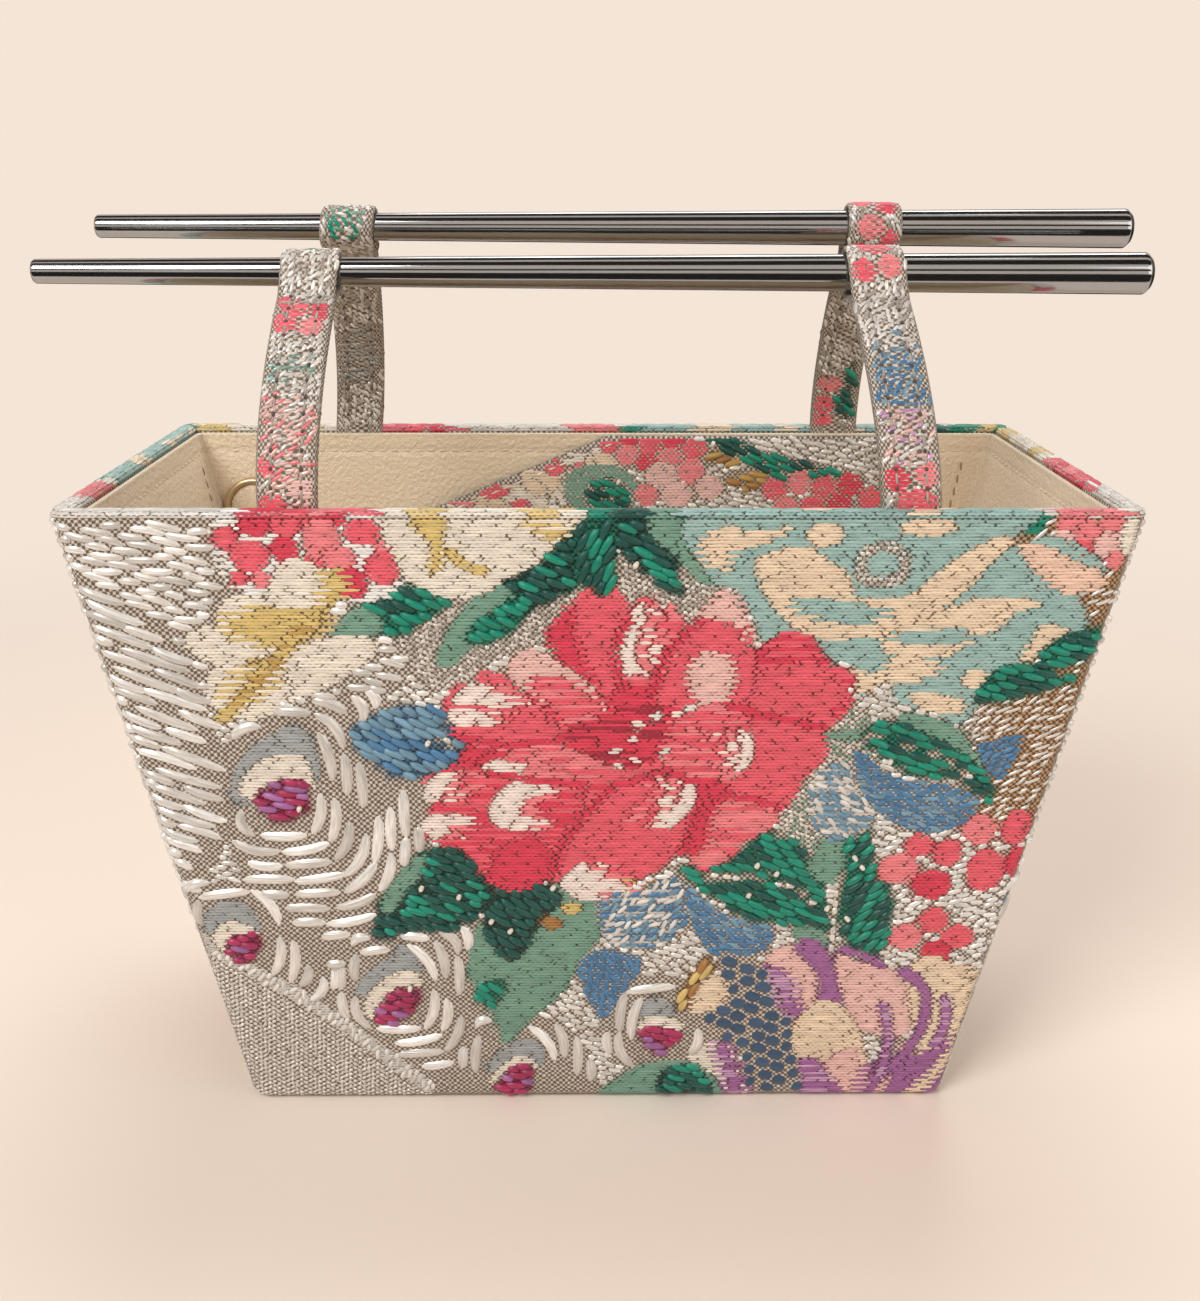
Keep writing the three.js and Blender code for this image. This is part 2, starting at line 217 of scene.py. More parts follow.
def net_material(name):
    """Ground cloth: a fine net of stitches in the cloth's own colour, darker in the gaps with painted shade.
    """
    made, tree, shader = material(name, Roughness=0.5)
    place = add(tree, "ShaderNodeUVMap", uv_map="cloth").outputs["UV"]
    stray = add(tree, "ShaderNodeTexNoise", {"Vector": place, "Scale": 0.6, "Detail": 1.0}).outputs["Color"]
    moved = add(tree, "ShaderNodeVectorMath", {0: stray, 1: place}, operation="ADD").outputs["Vector"]
    apart = add(tree, "ShaderNodeSeparateXYZ", {0: moved})
    turns = 2 * math.pi / NET_PITCH
    waves = [maths(tree, "SINE", maths(tree, "MULTIPLY", apart.outputs[i], turns)) for i in (0, 1)]
    cells = maths(tree, "MULTIPLY", *waves)
    stitch = add(tree, "ShaderNodeMapRange", {"Value": cells, "From Min": -0.25,
                                              "From Max": 0.35}).outputs["Result"]
    own = add(tree, "ShaderNodeAttribute", attribute_name="ground").outputs["Color"]
    # Painted shade: the gaps between stitches are darkened by GAP_SHADE
    shade = add(tree, "ShaderNodeMix", {"Factor": stitch, 6: GAP_SHADE, 7: (1.0, 1.0, 1.0, 1.0)},
                data_type="RGBA").outputs[2]
    tinted(tree, shader, own, shade)
    bumped(tree, shader, stitch, strength=0.6, distance=0.0004)
    return made


def satin_material(name, colour):
    """Smooth lining cloth with a fine slanted twill and soft streaks."""
    made, tree, shader = material(name, Roughness=0.24, Sheen_Weight=0.3, Sheen_Roughness=0.4)
    place = add(tree, "ShaderNodeUVMap", uv_map="cloth").outputs["UV"]
    apart = add(tree, "ShaderNodeSeparateXYZ", {0: place})
    slant = maths(tree, "ADD", apart.outputs[0], apart.outputs[1])
    twill = maths(tree, "SINE", maths(tree, "MULTIPLY", slant, 2 * math.pi / TWILL_PITCH))
    streak = mapped_noise(tree, "cloth", (0.05, 0.9, 1.0), 3.0)
    tone = add(tree, "ShaderNodeMapRange", {"Value": streak, "To Min": 0.95,
                                            "To Max": 1.05}).outputs["Result"]
    tinted(tree, shader, tuple(linear(colour)), tone)
    bump = add(tree, "ShaderNodeBump", {"Height": twill, "Strength": 0.2,
                                        "Distance": 0.0001}).outputs["Normal"]
    crinkle = mapped_noise(tree, "cloth", (0.9, 0.9, 1.0), 3.0)
    creased = add(tree, "ShaderNodeBump", {"Height": crinkle, "Strength": 0.6, "Distance": 0.001,
                                           "Normal": bump})
    tree.links.new(creased.outputs["Normal"], shader.inputs["Normal"])
    return made


def metal_material(name, colour, roughness, scratch):
    """Polished metal with faint scratches along the cloth map's first direction."""
    made, tree, shader = material(name, Metallic=1.0)
    shader.inputs["Base Color"].default_value = (*linear(colour), 1.0)
    lines = mapped_noise(tree, "cloth", scratch, 3.0)
    rough = add(tree, "ShaderNodeMapRange", {"Value": lines, "To Min": roughness * 0.7,
                                             "To Max": roughness * 1.4})
    tree.links.new(rough.outputs["Result"], shader.inputs["Roughness"])
    bumped(tree, shader, lines, strength=0.06, distance=0.0001)
    return made


SILK_THREAD = thread_material("silk_thread", 3.4, Roughness=0.42, Sheen_Weight=0.2, Sheen_Roughness=0.4)
SILVER_THREAD = thread_material("silver_thread", 3.0, Roughness=0.3, Metallic=0.25, Sheen_Weight=0.15)
NET = net_material("ground_net")
SATIN_CLOTH = satin_material("lining_satin", SATIN)
STEEL_METAL = metal_material("polished_steel", STEEL, 0.1, (0.02, 3.0, 1.0))
# Darker steel at the chopsticks' ends: a painted dark reflection
DARK_REFLECTION_METAL = metal_material("steel_edge_dark_reflection", DARK_REFLECTION_STEEL, 0.3, (0.6, 0.6, 1.0))
GILT_METAL = metal_material("gilt_metal", GILT, 0.36, (0.6, 0.6, 1.0))


# Meshes

def mesh_piece(name, points, quads, made, uvs=None, colours=None):
    """A mesh from points in mm and four-cornered faces, with UV maps by corner and colours by point."""
    points = np.asarray(points, np.float32) * MM
    quads = np.asarray(quads, np.int32)
    mesh = bpy.data.meshes.new(name)
    mesh.vertices.add(len(points))
    mesh.vertices.foreach_set("co", points.ravel())
    mesh.loops.add(quads.size)
    mesh.loops.foreach_set("vertex_index", quads.ravel())
    mesh.polygons.add(len(quads))
    mesh.polygons.foreach_set("loop_start", np.arange(0, quads.size, 4, dtype=np.int32))
    mesh.polygons.foreach_set("use_smooth", np.ones(len(quads), bool))
    mesh.update(calc_edges=True)
    for key, values in (uvs or {}).items():
        layer = mesh.uv_layers.new(name=key)
        layer.data.foreach_set("uv", np.asarray(values, np.float32).ravel())
    for key, values in (colours or {}).items():
        layer = mesh.color_attributes.new(key, "FLOAT_COLOR", "POINT")
        full = np.ones((len(points), 4), np.float32)
        full[:, :3] = values
        layer.data.foreach_set("color", full.ravel())
    mesh.materials.append(made)
    piece = bpy.data.objects.new(name, mesh)
    bpy.context.collection.objects.link(piece)
    return piece


def grid_quads(rows, columns, round_columns=False, start=0):
    """Faces of a grid of points, which may close on itself along its rows."""
    column = np.arange(columns if round_columns else columns - 1)
    row, column = np.meshgrid(np.arange(rows - 1), column, indexing="ij")
    after, beside = row + 1, (column + 1) % columns
    corners = [(row, column), (row, beside), (after, beside), (after, column)]
    return start + np.stack([r * columns + c for r, c in corners], -1).reshape(-1, 4)


def floor_fan(row, columns, middle):
    """Faces that close a round row of a grid to the point numbered middle."""
    place = np.arange(0, columns - 1, 2)
    first = row * columns + place
    fan = np.stack([np.full(len(first), middle), first, first + 1, row * columns + (place + 2) % columns], -1)
    return fan[:, ::-1] if row == 0 else fan


# Surfaces that carry thread: each turns s along, t up and h out of the cloth into points

def half_width(z):
    return (BASE_WIDTH + (TOP_WIDTH - BASE_WIDTH) * z / HEIGHT) / 2


def half_depth(z):
    return (BASE_DEPTH + (TOP_DEPTH - BASE_DEPTH) * z / HEIGHT) / 2


SIDES = ("front", "right", "back", "left")
WIDE_SIDES = ("front", "back")


def half_side(side, z):
    return half_width(z) if side in WIDE_SIDES else half_depth(z)


def side_reach(side, z):
    """How far the side's cloth goes from its middle, to half way round the corner."""
    return half_side(side, z) - CORNER + CORNER * math.pi / 4


def on_side(side, s, inset, z, least=0.6):
    """The point s along a side from its middle, inset in from the outside, at height z."""
    s, inset, z = np.broadcast_arrays(*(np.asarray(v, float) for v in (s, inset, z)))
    out = half_depth(z) if side in WIDE_SIDES else half_width(z)
    flat = half_side(side, z) - CORNER
    angle = np.clip((np.abs(s) - flat) / CORNER, 0, math.pi / 2)
    radius = np.maximum(CORNER - inset, least)
    flat_inside = half_side(side, z) - inset - radius
    straight = np.minimum(np.abs(s) * np.minimum(flat_inside / flat, 1.0), flat_inside)
    along = np.sign(s) * (np.where(angle > 0, flat_inside, straight) + radius * np.sin(angle))
    away = out - inset - radius + radius * np.cos(angle)
    x, y = {"front": (along, -away), "right": (away, along), "back": (-along, away),
            "left": (-away, -along)}[side]
    return np.stack([x, y, z], -1)


def wall_surface(side):
    def surface(s, t, h):
        below = np.clip(BASE_EDGE - t, 0, BASE_EDGE)
        tuck = BASE_EDGE - np.sqrt(BASE_EDGE ** 2 - below ** 2)
        return on_side(side, s, tuck - h, t)
    return surface


def rim_profile():
    """The rim's outline over the top, as distance, inset and height, with its outward direction."""
    turn = np.linspace(0, math.pi / 2, 5)
    middle_out, middle_in = RIM_EDGE, HEM_INSIDE - RIM_EDGE
    top = HEIGHT - RIM_EDGE
    inset = np.concatenate([middle_out - RIM_EDGE * np.cos(turn), middle_in + RIM_EDGE * np.sin(turn)])
    height = np.concatenate([top + RIM_EDGE * np.sin(turn), top + RIM_EDGE * np.cos(turn)])
    lean = np.concatenate([turn - math.pi / 2, turn])
    steps = np.hypot(np.diff(inset), np.diff(height))
    return np.concatenate([[0], np.cumsum(steps)]), inset, height, lean


RIM_WAY, RIM_INSET, RIM_HEIGHT, RIM_LEAN = rim_profile()


def rim_surface(side):
    def surface(s, t, h):
        lean = np.interp(t, RIM_WAY, RIM_LEAN)
        inset = np.interp(t, RIM_WAY, RIM_INSET) + h * np.sin(lean)
        return on_side(side, s, inset, np.interp(t, RIM_WAY, RIM_HEIGHT) + h * np.cos(lean))
    return surface


def pocket_back(x, z):
    """How far back the pocket's cloth lies against the lining, with the swell of its loose mouth."""
    drop = POCKET_TOP - z
    left = pocket_left(z)
    across = np.clip((x - left) / (POCKET_RIGHT - left), 0, 1)
    swell = POCKET_SWELL * np.sin(math.pi * drop / POCKET_DEPTH) * np.cos(math.pi / 2 * across)
    return half_depth(z) - LINING_INSIDE - POCKET_GAP - swell


def pocket_left(z):
    share = np.clip((POCKET_TOP - z) / MOUTH_DROP, 0, 1)
    return MOUTH_START + (POCKET_LEFT - MOUTH_START) * share


def pocket_surface(s, t, h):
    return np.stack([s, pocket_back(s, t) - POCKET_LAYER - h, t], -1)


# Patterns: fields of colour, painted from the back to the front, in mm along and up the cloth

# Threads laid one by one on a slanted lattice, as length, width, row pitch, gap, height and stray angle
LATTICES = {
    "leaf": (4.8, 1.75, 1.5, 0.25, 0.9, 5),
    "curl": (2.8, 1.1, 1.3, 0.3, 0.55, 30),
    "scale": (3.7, 3.1, 3.2, 0.7, 0.5, 3),
    "barb": (14.0, 2.2, 2.4, 0.3, 0.9, 3),
    "float": (6.6, 1.75, 1.6, 0.1, 0.7, 12),
    "ring": (11.0, 2.6, 3.0, 0.3, 0.9, 2),
    "bead": (1.9, 1.3, 3.3, 0.5, 0.55, 6),
    "stitch": (3.4, 1.3, 1.3, 0.1, 0.5, 20),
    "mesh": (2.6, 0.85, 0.9, 0.15, 0.34, 24),
    "fine": (3.6, 0.8, 1.25, 0.6, 0.38, 14),
    "dot": (1.0, 0.8, 1.1, 0.2, 0.3, 4),
}
LOOSE_KINDS = ("mesh", "float", "stitch", "fine")
SILVER_KINDS = ("mesh", "barb", "float", "ring", "bead", "stitch", "fine", "dot")
# Rows of silk: every third row is tied down often, which leaves rows of dark dots where the painted shade of
# the ground under the silk shows
SILK_PITCH = 0.72
SILK_WIDTH = 1.02
SILK_HEIGHT = 0.27
SILK_TIES = 5.2
SILK_LONG = 17.0
SILK_GAP = 0.12
SILK_TAPER = 0.3
SAMPLE = 0.4
RING_TALL = 1.25
RING_SQUARE = 0.5
PLACE_STRAY = 0.3
DOT_STRAY = 0.05
TIP_BLUSH = 3.0
TIP_HATCH = 3.2
SPIKE_LENGTH, SPIKE_POWER = 2, 1.5
ROW_SHIFT, ROW_SHIFT_SPREAD = 0.35, 0.65
TIE_STRAY = 0.12
TIE_CLEAR = 1.2
SILK_TONE, SILK_TONE_SPREAD = 0.93, 0.13
HIGH_ROW, LOW_ROW = 1.2, 0.95
# Rings: first and last row, most threads in one, and half a thread's chord as a share of its step
RING_ROWS = (2, 18)
RING_MOST = 96
CHORD_SHARE = 0.42
# Laid threads: where their ends are tried, how a field's edge cuts them, and how they vary
END_SHARE = 0.42
CUT_ONE_END, CUT_BOTH_ENDS, CUT_SHIFT = 0.66, 0.45, 0.36
LEAST_LOOSE, LEAST_EVEN, MOST = 0.62, 0.88, 1.12
GRAIN_TONE, GRAIN_TONE_SPREAD = 0.82, 0.3
GRAIN_TALL, GRAIN_TALL_SPREAD = 0.8, 0.4
GRAIN_BEND = 0.04
# White dots among a leaf's threads: their share and their length
LEAF_DOTS = 0.035
LEAF_DOT_LENGTH = 1.1
# A thread is s, t, angle, length, width, height, bend and three parts of colour
THREAD_VALUES = 10
# Kinds that lie over rows of silk, with how dark that silk is: painted shade under their threads
UNDERLAID = {"leaf": 0.5, "curl": 0.8}


def closed_curve(points, steps=5):
    """A smooth closed outline through a few points."""
    here = np.array(points, float)
    before, after, later = np.roll(here, 1, 0), np.roll(here, -1, 0), np.roll(here, -2, 0)
    share = (np.arange(steps) / steps)[:, None, None]
    linear_part = (after - before) * share
    square_part = (2 * before - 5 * here + 4 * after - later) * share ** 2
    cubic_part = (3 * here - before - 3 * after + later) * share ** 3
    curve = here + (linear_part + square_part + cubic_part) / 2
    return curve.transpose(1, 0, 2).reshape(-1, 2)


def is_inside(outline, s, t):
    found = np.zeros(s.shape, bool)
    low, high = outline.min(0), outline.max(0)
    near = (s > low[0]) & (s < high[0]) & (t > low[1]) & (t < high[1])
    if not near.any():
        return found
    across, up = s[near][:, None], t[near][:, None]
    begin, end = outline, np.roll(outline, -1, 0)
    rise = np.where(end[:, 1] == begin[:, 1], 1.0, end[:, 1] - begin[:, 1])
    crosses = (begin[:, 1] > up) != (end[:, 1] > up)
    meets = begin[:, 0] + (up - begin[:, 1]) / rise * (end[:, 0] - begin[:, 0])
    found[near] = (crosses & (across < meets)).sum(1) % 2 == 1
    return found


def unit_ring():
    """A rounded square ring of radius 1, taller than wide, and the distance along it."""
    turn = np.linspace(0, 2 * math.pi, 241)
    cos, sin = np.cos(turn), np.sin(turn)
    ring = np.stack([np.sign(cos) * np.abs(cos) ** RING_SQUARE,
                     RING_TALL * np.sign(sin) * np.abs(sin) ** RING_SQUARE], -1)
    return ring, np.concatenate([[0], np.cumsum(np.linalg.norm(np.diff(ring, axis=0), axis=1))])


RING, RING_WAY = unit_ring()


def on_ring(along):
    """The place on the unit ring at a distance along it."""
    return np.stack([np.interp(along % RING_WAY[-1], RING_WAY, column) for column in RING.T], -1)


class Pattern:
    """Fields of colour on a cloth. A later field lies over an earlier one."""

    def __init__(self):
        self.fields = []

    def field(self, kind, colours, points, lean=0.0, hatch=0.5, centre=None, spike=0):
        self.fields.append({"kind": kind, "colours": colours.split(), "outline": closed_curve(points),
                            "lean": lean, "hatch": hatch, "centre": centre, "spike": spike})

    def silk(self, colours, points, hatch=0.5):
        self.field("silk", colours, points, hatch=hatch)

    def leaf(self, colours, points, lean=-26.0):
        self.field("leaf", colours, points, lean)

    def oval(self, colours, s, t, wide, high, kind="silk", hatch=0.4):
        turn = np.arange(8) * math.pi / 4
        points = np.stack([s + wide / 2 * np.cos(turn), t + high / 2 * np.sin(turn)], -1)
        self.field(kind, colours, points, hatch=hatch)

    def petals(self, colours, places, grow=1.0):
        """Small petals, each as centre and size, in turn of the colours."""
        names = colours.split()
        for number, (s, t, wide, high) in enumerate(places):
            self.oval(names[number % len(names)], s, t, wide * grow, high * grow)

    def tip(self, points, spike=1):
        """A petal's pale tip, which runs out through blush in long spikes to one side."""
        self.field("silk", "blush", np.array(points, float) + (spike * TIP_BLUSH, 0), hatch=TIP_HATCH,
                   spike=spike)
        self.field("silk", "tip", points, hatch=TIP_HATCH, spike=spike)

    def stripe(self, colours, points, width, kind="silk", lean=0.0, hatch=0.4):
        """A band of even width along a line of points."""
        line = np.array(points, float)
        way = np.gradient(line, axis=0)
        side = np.stack([-way[:, 1], way[:, 0]], -1) / np.linalg.norm(way, axis=1)[:, None] * width / 2
        self.field(kind, colours, np.concatenate([line + side, (line - side)[::-1]]), lean, hatch)

    def top(self, s, t, row=None):
        """The number of the field that shows at each place, or -1. Rows of silk shift, for ragged edges."""
        shows = np.full(s.shape, -1)
        for number, field in enumerate(self.fields):
            shift = 0.0
            if row is not None:
                shift = field["hatch"] * np.where(row % 2 == 0, 1, -1) * (ROW_SHIFT + ROW_SHIFT_SPREAD
                        * chance(row, number))
            if field["spike"] and row is not None:
                long = field["hatch"] * SPIKE_LENGTH * chance(row, number, 9) ** SPIKE_POWER
                spike = is_inside(field["outline"], s - field["spike"] * long, t)
                shows[is_inside(field["outline"], s, t) | spike] = number
            else:
                shows[is_inside(field["outline"], s + shift, t)] = number
        return shows

    def rows(self, low, high, reach):
        """Floats of silk in level rows."""
        count = int((high - low) / SILK_PITCH)
        row, s = np.meshgrid(np.arange(count), np.arange(-reach, reach, SAMPLE), indexing="ij")
        t = low + (row + 0.5) * SILK_PITCH
        shows = self.top(s, t, row)
        found = []
        for r in range(count):
            ends = np.flatnonzero(np.diff(shows[r])) + 1
            for first, last in zip([0, *ends], [*ends, shows.shape[1]]):
                number = shows[r, first]
                if number < 0 or self.fields[number]["kind"] not in ("silk", *UNDERLAID):
                    continue
                found += self.floats(number, r, t[r, 0], s[r, first] - SAMPLE / 2, (last - first) * SAMPLE)
        return found

    def floats(self, number, row, t, start, length):
        """One run of silk in a row, tied down every few millimetres."""
        if length < 2 * SAMPLE:
            return []
        field = self.fields[number]
        # dim darkens the silk under leaves and curls, as painted shade, and also lowers it
        names, dim = field["colours"], UNDERLAID.get(field["kind"], 1.0)
        group, tied = row // 3, row % 3 == 0
        step = SILK_TIES if tied else SILK_LONG
        shift = 0.5 * (group % 2) + (0.0 if tied else chance(row, number))
        ties = np.arange(math.floor(start / step) - 1, math.ceil((start + length) / step) + 1)
        cuts = (ties + shift + TIE_STRAY * (chance(ties, row, 7) - 0.5)) * step
        cuts = [start, *cuts[(cuts > start + TIE_CLEAR) & (cuts < start + length - TIE_CLEAR)],
                start + length]
        made = []
        for i in range(len(cuts) - 1):
            luck = chance(i, row, number + 3)
            tone = SILK_TONE + SILK_TONE_SPREAD * chance(i, number, row)
            colour = linear(COLOURS[names[int(luck * len(names))]]) * dim * tone
            middle, span = (cuts[i] + cuts[i + 1]) / 2, cuts[i + 1] - cuts[i] - SILK_GAP
            height = SILK_HEIGHT * (HIGH_ROW if row % 3 == 1 else LOW_ROW) * dim
            made.append((middle, t, 0.0, span, SILK_WIDTH, height, 0.0, *colour))
        return made

    def straight_places(self, field, step, pitch):
        """Rows and places of a slanted lattice over a field, with each one's centre and angle."""
        lean = math.radians(field["lean"])
        along, up = np.array([math.cos(lean), math.sin(lean)]), np.array([-math.sin(lean), math.cos(lean)])
        corners = field["outline"]
        near, far = (corners @ along).min(), (corners @ along).max()
        low, high = (corners @ up).min(), (corners @ up).max()
        row, place = np.meshgrid(
            np.arange(math.floor(low / pitch), math.ceil(high / pitch) + 1),
            np.arange(math.floor(near / step) - 1, math.ceil(far / step) + 1), indexing="ij")
        row, place = row.ravel(), place.ravel()
        loose = DOT_STRAY if field["kind"] == "dot" else PLACE_STRAY
        run = (place + 0.5 * (row % 2) + loose * (chance(row, place, 2) - 0.5)) * step
        centre = run[:, None] * along + (row * pitch)[:, None] * up
        return row, place, centre, np.full(len(row), lean), np.zeros(len(row))

    def ring_places(self, field, step, pitch):
        """Places along rounded rings about a field's centre, with each one's angle and bend."""
        row, place = np.meshgrid(np.arange(*RING_ROWS), np.arange(RING_MOST), indexing="ij")
        row, place = row.ravel(), place.ravel()
        along = (place + chance(row, 3)) * step / (row * pitch)
        inside = along < RING_WAY[-1] - 0.5 * step / (row * pitch)
        row, place, along = row[inside], place[inside], along[inside]
        half = CHORD_SHARE * step / (row * pitch)
        behind, middle, ahead = (on_ring(along + shift) * (row * pitch)[:, None] for shift in (-half, 0,
                half))
        angle = np.arctan2(*(ahead - behind).T[::-1])
        chord = (ahead + behind) / 2
        bend = ((middle - chord) * np.stack([-np.sin(angle), np.cos(angle)], -1)).sum(1)
        return row, place, np.array(field["centre"]) + chord, angle, bend

    def lattice(self, number):
        """Threads of one field laid one by one, kept where the field shows."""
        field = self.fields[number]
        length, width, pitch, gap, height, stray = LATTICES[field["kind"]]
        lay = self.ring_places if field["centre"] else self.straight_places
        row, place, centre, angle, bend = lay(field, length + gap, pitch)
        keep = self.top(*centre.T) == number
        row, place, centre, angle, bend = (part[keep] for part in (row, place, centre, angle, bend))
        angle = angle + np.radians(stray) * (2 * chance(place, row, 5) - 1)
        way = np.stack([np.cos(angle), np.sin(angle)], -1) * length * END_SHARE
        ahead, behind = (self.top(*(centre + sign * way).T) == number for sign in (1, -1))
        span = length * np.where(ahead & behind, 1.0, np.where(ahead | behind, CUT_ONE_END, CUT_BOTH_ENDS))
        least = LEAST_LOOSE if field["kind"] in LOOSE_KINDS else LEAST_EVEN
        span = span * (least + (MOST - least) * chance(row, place, number))
        centre = centre + way * CUT_SHIFT * (ahead.astype(float) - behind)[:, None]
        tints = np.array([linear(COLOURS[name]) for name in field["colours"]])
        pick = (chance(row, place, 11) * len(tints)).astype(int)
        colour = tints[pick] * (GRAIN_TONE + GRAIN_TONE_SPREAD * chance(row, place, 23))[:, None]
        if field["kind"] == "leaf":
            dot = chance(row, place, 53) < LEAF_DOTS
            span = np.where(dot, LEAF_DOT_LENGTH, span)
            colour = np.where(dot[:, None], linear(COLOURS["white"]), colour)
        tall = height * (GRAIN_TALL + GRAIN_TALL_SPREAD * chance(row, place, 31))
        bend = bend + length * GRAIN_BEND * (2 * chance(row, place, 41) - 1)
        return np.column_stack([centre, angle, span, np.full(len(span), width), tall, bend, colour])

    def weave(self, low, high, reach):
        """All threads of the cloth: rows of silk, plump grains of silk, and silver."""
        rows = np.array(self.rows(low, high, reach)).reshape(-1, THREAD_VALUES)
        none = np.zeros((0, THREAD_VALUES))
        parts = {"rows": [rows], "grain": [none], "silver": [none]}
        for number, field in enumerate(self.fields):
            if field["kind"] in LATTICES:
                parts["silver" if field["kind"] in SILVER_KINDS else "grain"].append(self.lattice(number))
        return {key: np.concatenate(found) for key, found in parts.items()}


# Shape of one thread: its width and height along it, and its height across it, plump or fine
ALONG_WIDTH = np.array([0.3, 0.84, 1, 1, 0.84, 0.3])
ALONG_HEIGHT = np.array([0.1, 0.78, 1, 1, 0.78, 0.1])
PLUMP = ((-1, 0), (-0.6, 0.8), (0, 1), (0.6, 0.8), (1, 0))
FINE = ((-1, 0), (0, 1), (1, 0))
GRAIN_TAPER = 0.26
MIDDLE_SHARE = 0.26
STRAND_STEP = 7.0
SUNK = 0.1


def thread_piece(name, threads, surface, made, section=PLUMP, taper=None):
    """A mesh of many threads lying on a surface. Taper is the length of their narrow ends."""
    s, t, angle, length, width, height, bend = (column[:, None, None] for column in threads.T[:7])
    across_share, across_height = np.array(section).T
    narrow = np.full_like(length, GRAIN_TAPER) if taper is None else np.clip(2 * taper / length, 0, 0.5)
    end = np.ones_like(narrow)
    along = np.concatenate([-end, narrow - 1, -MIDDLE_SHARE * end, MIDDLE_SHARE * end, 1 - narrow, end], 1)
    run = length / 2 * along * np.ones(len(across_share))
    side = width / 2 * ALONG_WIDTH[:, None] * across_share
    bow = side + bend * (1 - along ** 2)
    rise = height * ALONG_HEIGHT[:, None] * across_height - SUNK
    across = s + run * np.cos(angle) - bow * np.sin(angle)
    up = t + run * np.sin(angle) + bow * np.cos(angle)
    points = surface(across, up, rise).reshape(-1, 3)
    rows, columns = len(ALONG_WIDTH), len(across_share)
    one = grid_quads(rows, columns)
    quads = (one + rows * columns * np.arange(len(threads))[:, None, None]).reshape(-1, 4)
    strand = np.stack([run + STRAND_STEP * np.arange(len(threads))[:, None, None], side + 0 * run],
                      -1).reshape(-1, 2)
    flat = np.stack([across, up], -1).reshape(-1, 2)
    flat = (flat - flat.min(0)) / (np.ptp(flat, 0) + 1e-6)
    colour = np.repeat(threads[:, 7:], rows * columns, axis=0)
    uvs = {"thread": strand[quads.ravel()], "OFBake": flat[quads.ravel()]}
    return mesh_piece(name, points, quads, made, uvs, {"silk": colour})


def cloth_pieces(name, parts, surface, body):
    """A cloth's threads as pieces: fine rows and plump grains of silk, and silver."""
    pieces = []
    for key, threads in parts.items():
        if len(threads) == 0:
            continue
        fine = {"section": FINE, "taper": SILK_TAPER} if key == "rows" else {}
        made = SILVER_THREAD if key == "silver" else SILK_THREAD
        pieces.append(dressed(thread_piece(f"{name}_{key}", threads, surface, made, **fine), body))
    return pieces


def dressed(piece, body):
    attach(piece, body)
    return piece


# The cloth's pattern: flowers, leaves and feathers, on one width of the brocade
REPEAT = 205.0
CLOTH_REACH = 113.0
brocade = Pattern()


def paint_ground(cloth):
    """Silver feather barbs and stitches under the flowers."""
    cloth.field("stitch", "silver silver bright", [(-113, -4), (-113, 150), (113, 150), (113, -4)], -14)
    cloth.field("float", "silver silver bright", [(-113, 150), (-40, 150), (-42, 108), (-84, 104),
                                                  (-113, 118)], -9)
    barbs = [(-113, 128), (-88, 120), (-81, 100), (-78, 80), (-88, 58), (-92, 36), (-113, 36)]
    cloth.field("barb", "silver bright silver", barbs, -22)
    rings = [
        ((-69, 84), [(-80, 84), (-77, 97), (-62, 104), (-44, 106), (-36, 88), (-38, 68), (-50, 46),
        (-66, 38), (-78, 58)]),
        ((-81, 47), [(-94, 52), (-90, 60), (-78, 60), (-68, 50), (-60, 36), (-66, 26), (-80, 36)]),
        ((-47, 32), [(-60, 34), (-54, 48), (-42, 50), (-28, 48), (-24, 26), (-30, -4), (-42, -4), (-54, 14),
        (-62, 26)]),
        ((-20, 9), [(-34, 8), (-30, 20), (-20, 24), (-8, 22), (0, 6), (-2, -4), (-32, -4)]),
        ((14, 21), [(0, 20), (6, 34), (20, 34), (28, 24), (24, 10), (8, 8)]),
    ]
    for centre, region in rings:
        cloth.field("ring", "silver bright", region, centre=centre)
    dots = [(-95, 50), (-80, 37), (-66, 26), (-54, 15), (-40, 2), (-40, -4), (-95, -4)]
    cloth.field("dot", "silver", dots, 24)
    rope = [(-90, 46), (-80, 38), (-66, 28), (-54, 17), (-41, 4)]
    cloth.stripe("silver", rope, 4.0, "curl", 62)
    cloth.field("dot", "silver shade", [(-40, 147), (24, 147), (24, 110), (-12, 118), (-36, 108)], -20)
    brown = [(78, 140), (113, 148), (113, 66), (92, 68), (78, 76), (76, 100)]
    cloth.field("fine", "silver", brown, 32)
    cloth.field("dot", "silver sage", [(36, 100), (54, 104), (60, 88), (58, 70), (46, 66), (38, 78)], -20)
    cloth.field("stitch", "silver bright", [(60, 72), (113, 70), (113, 34), (62, 36)], 12)


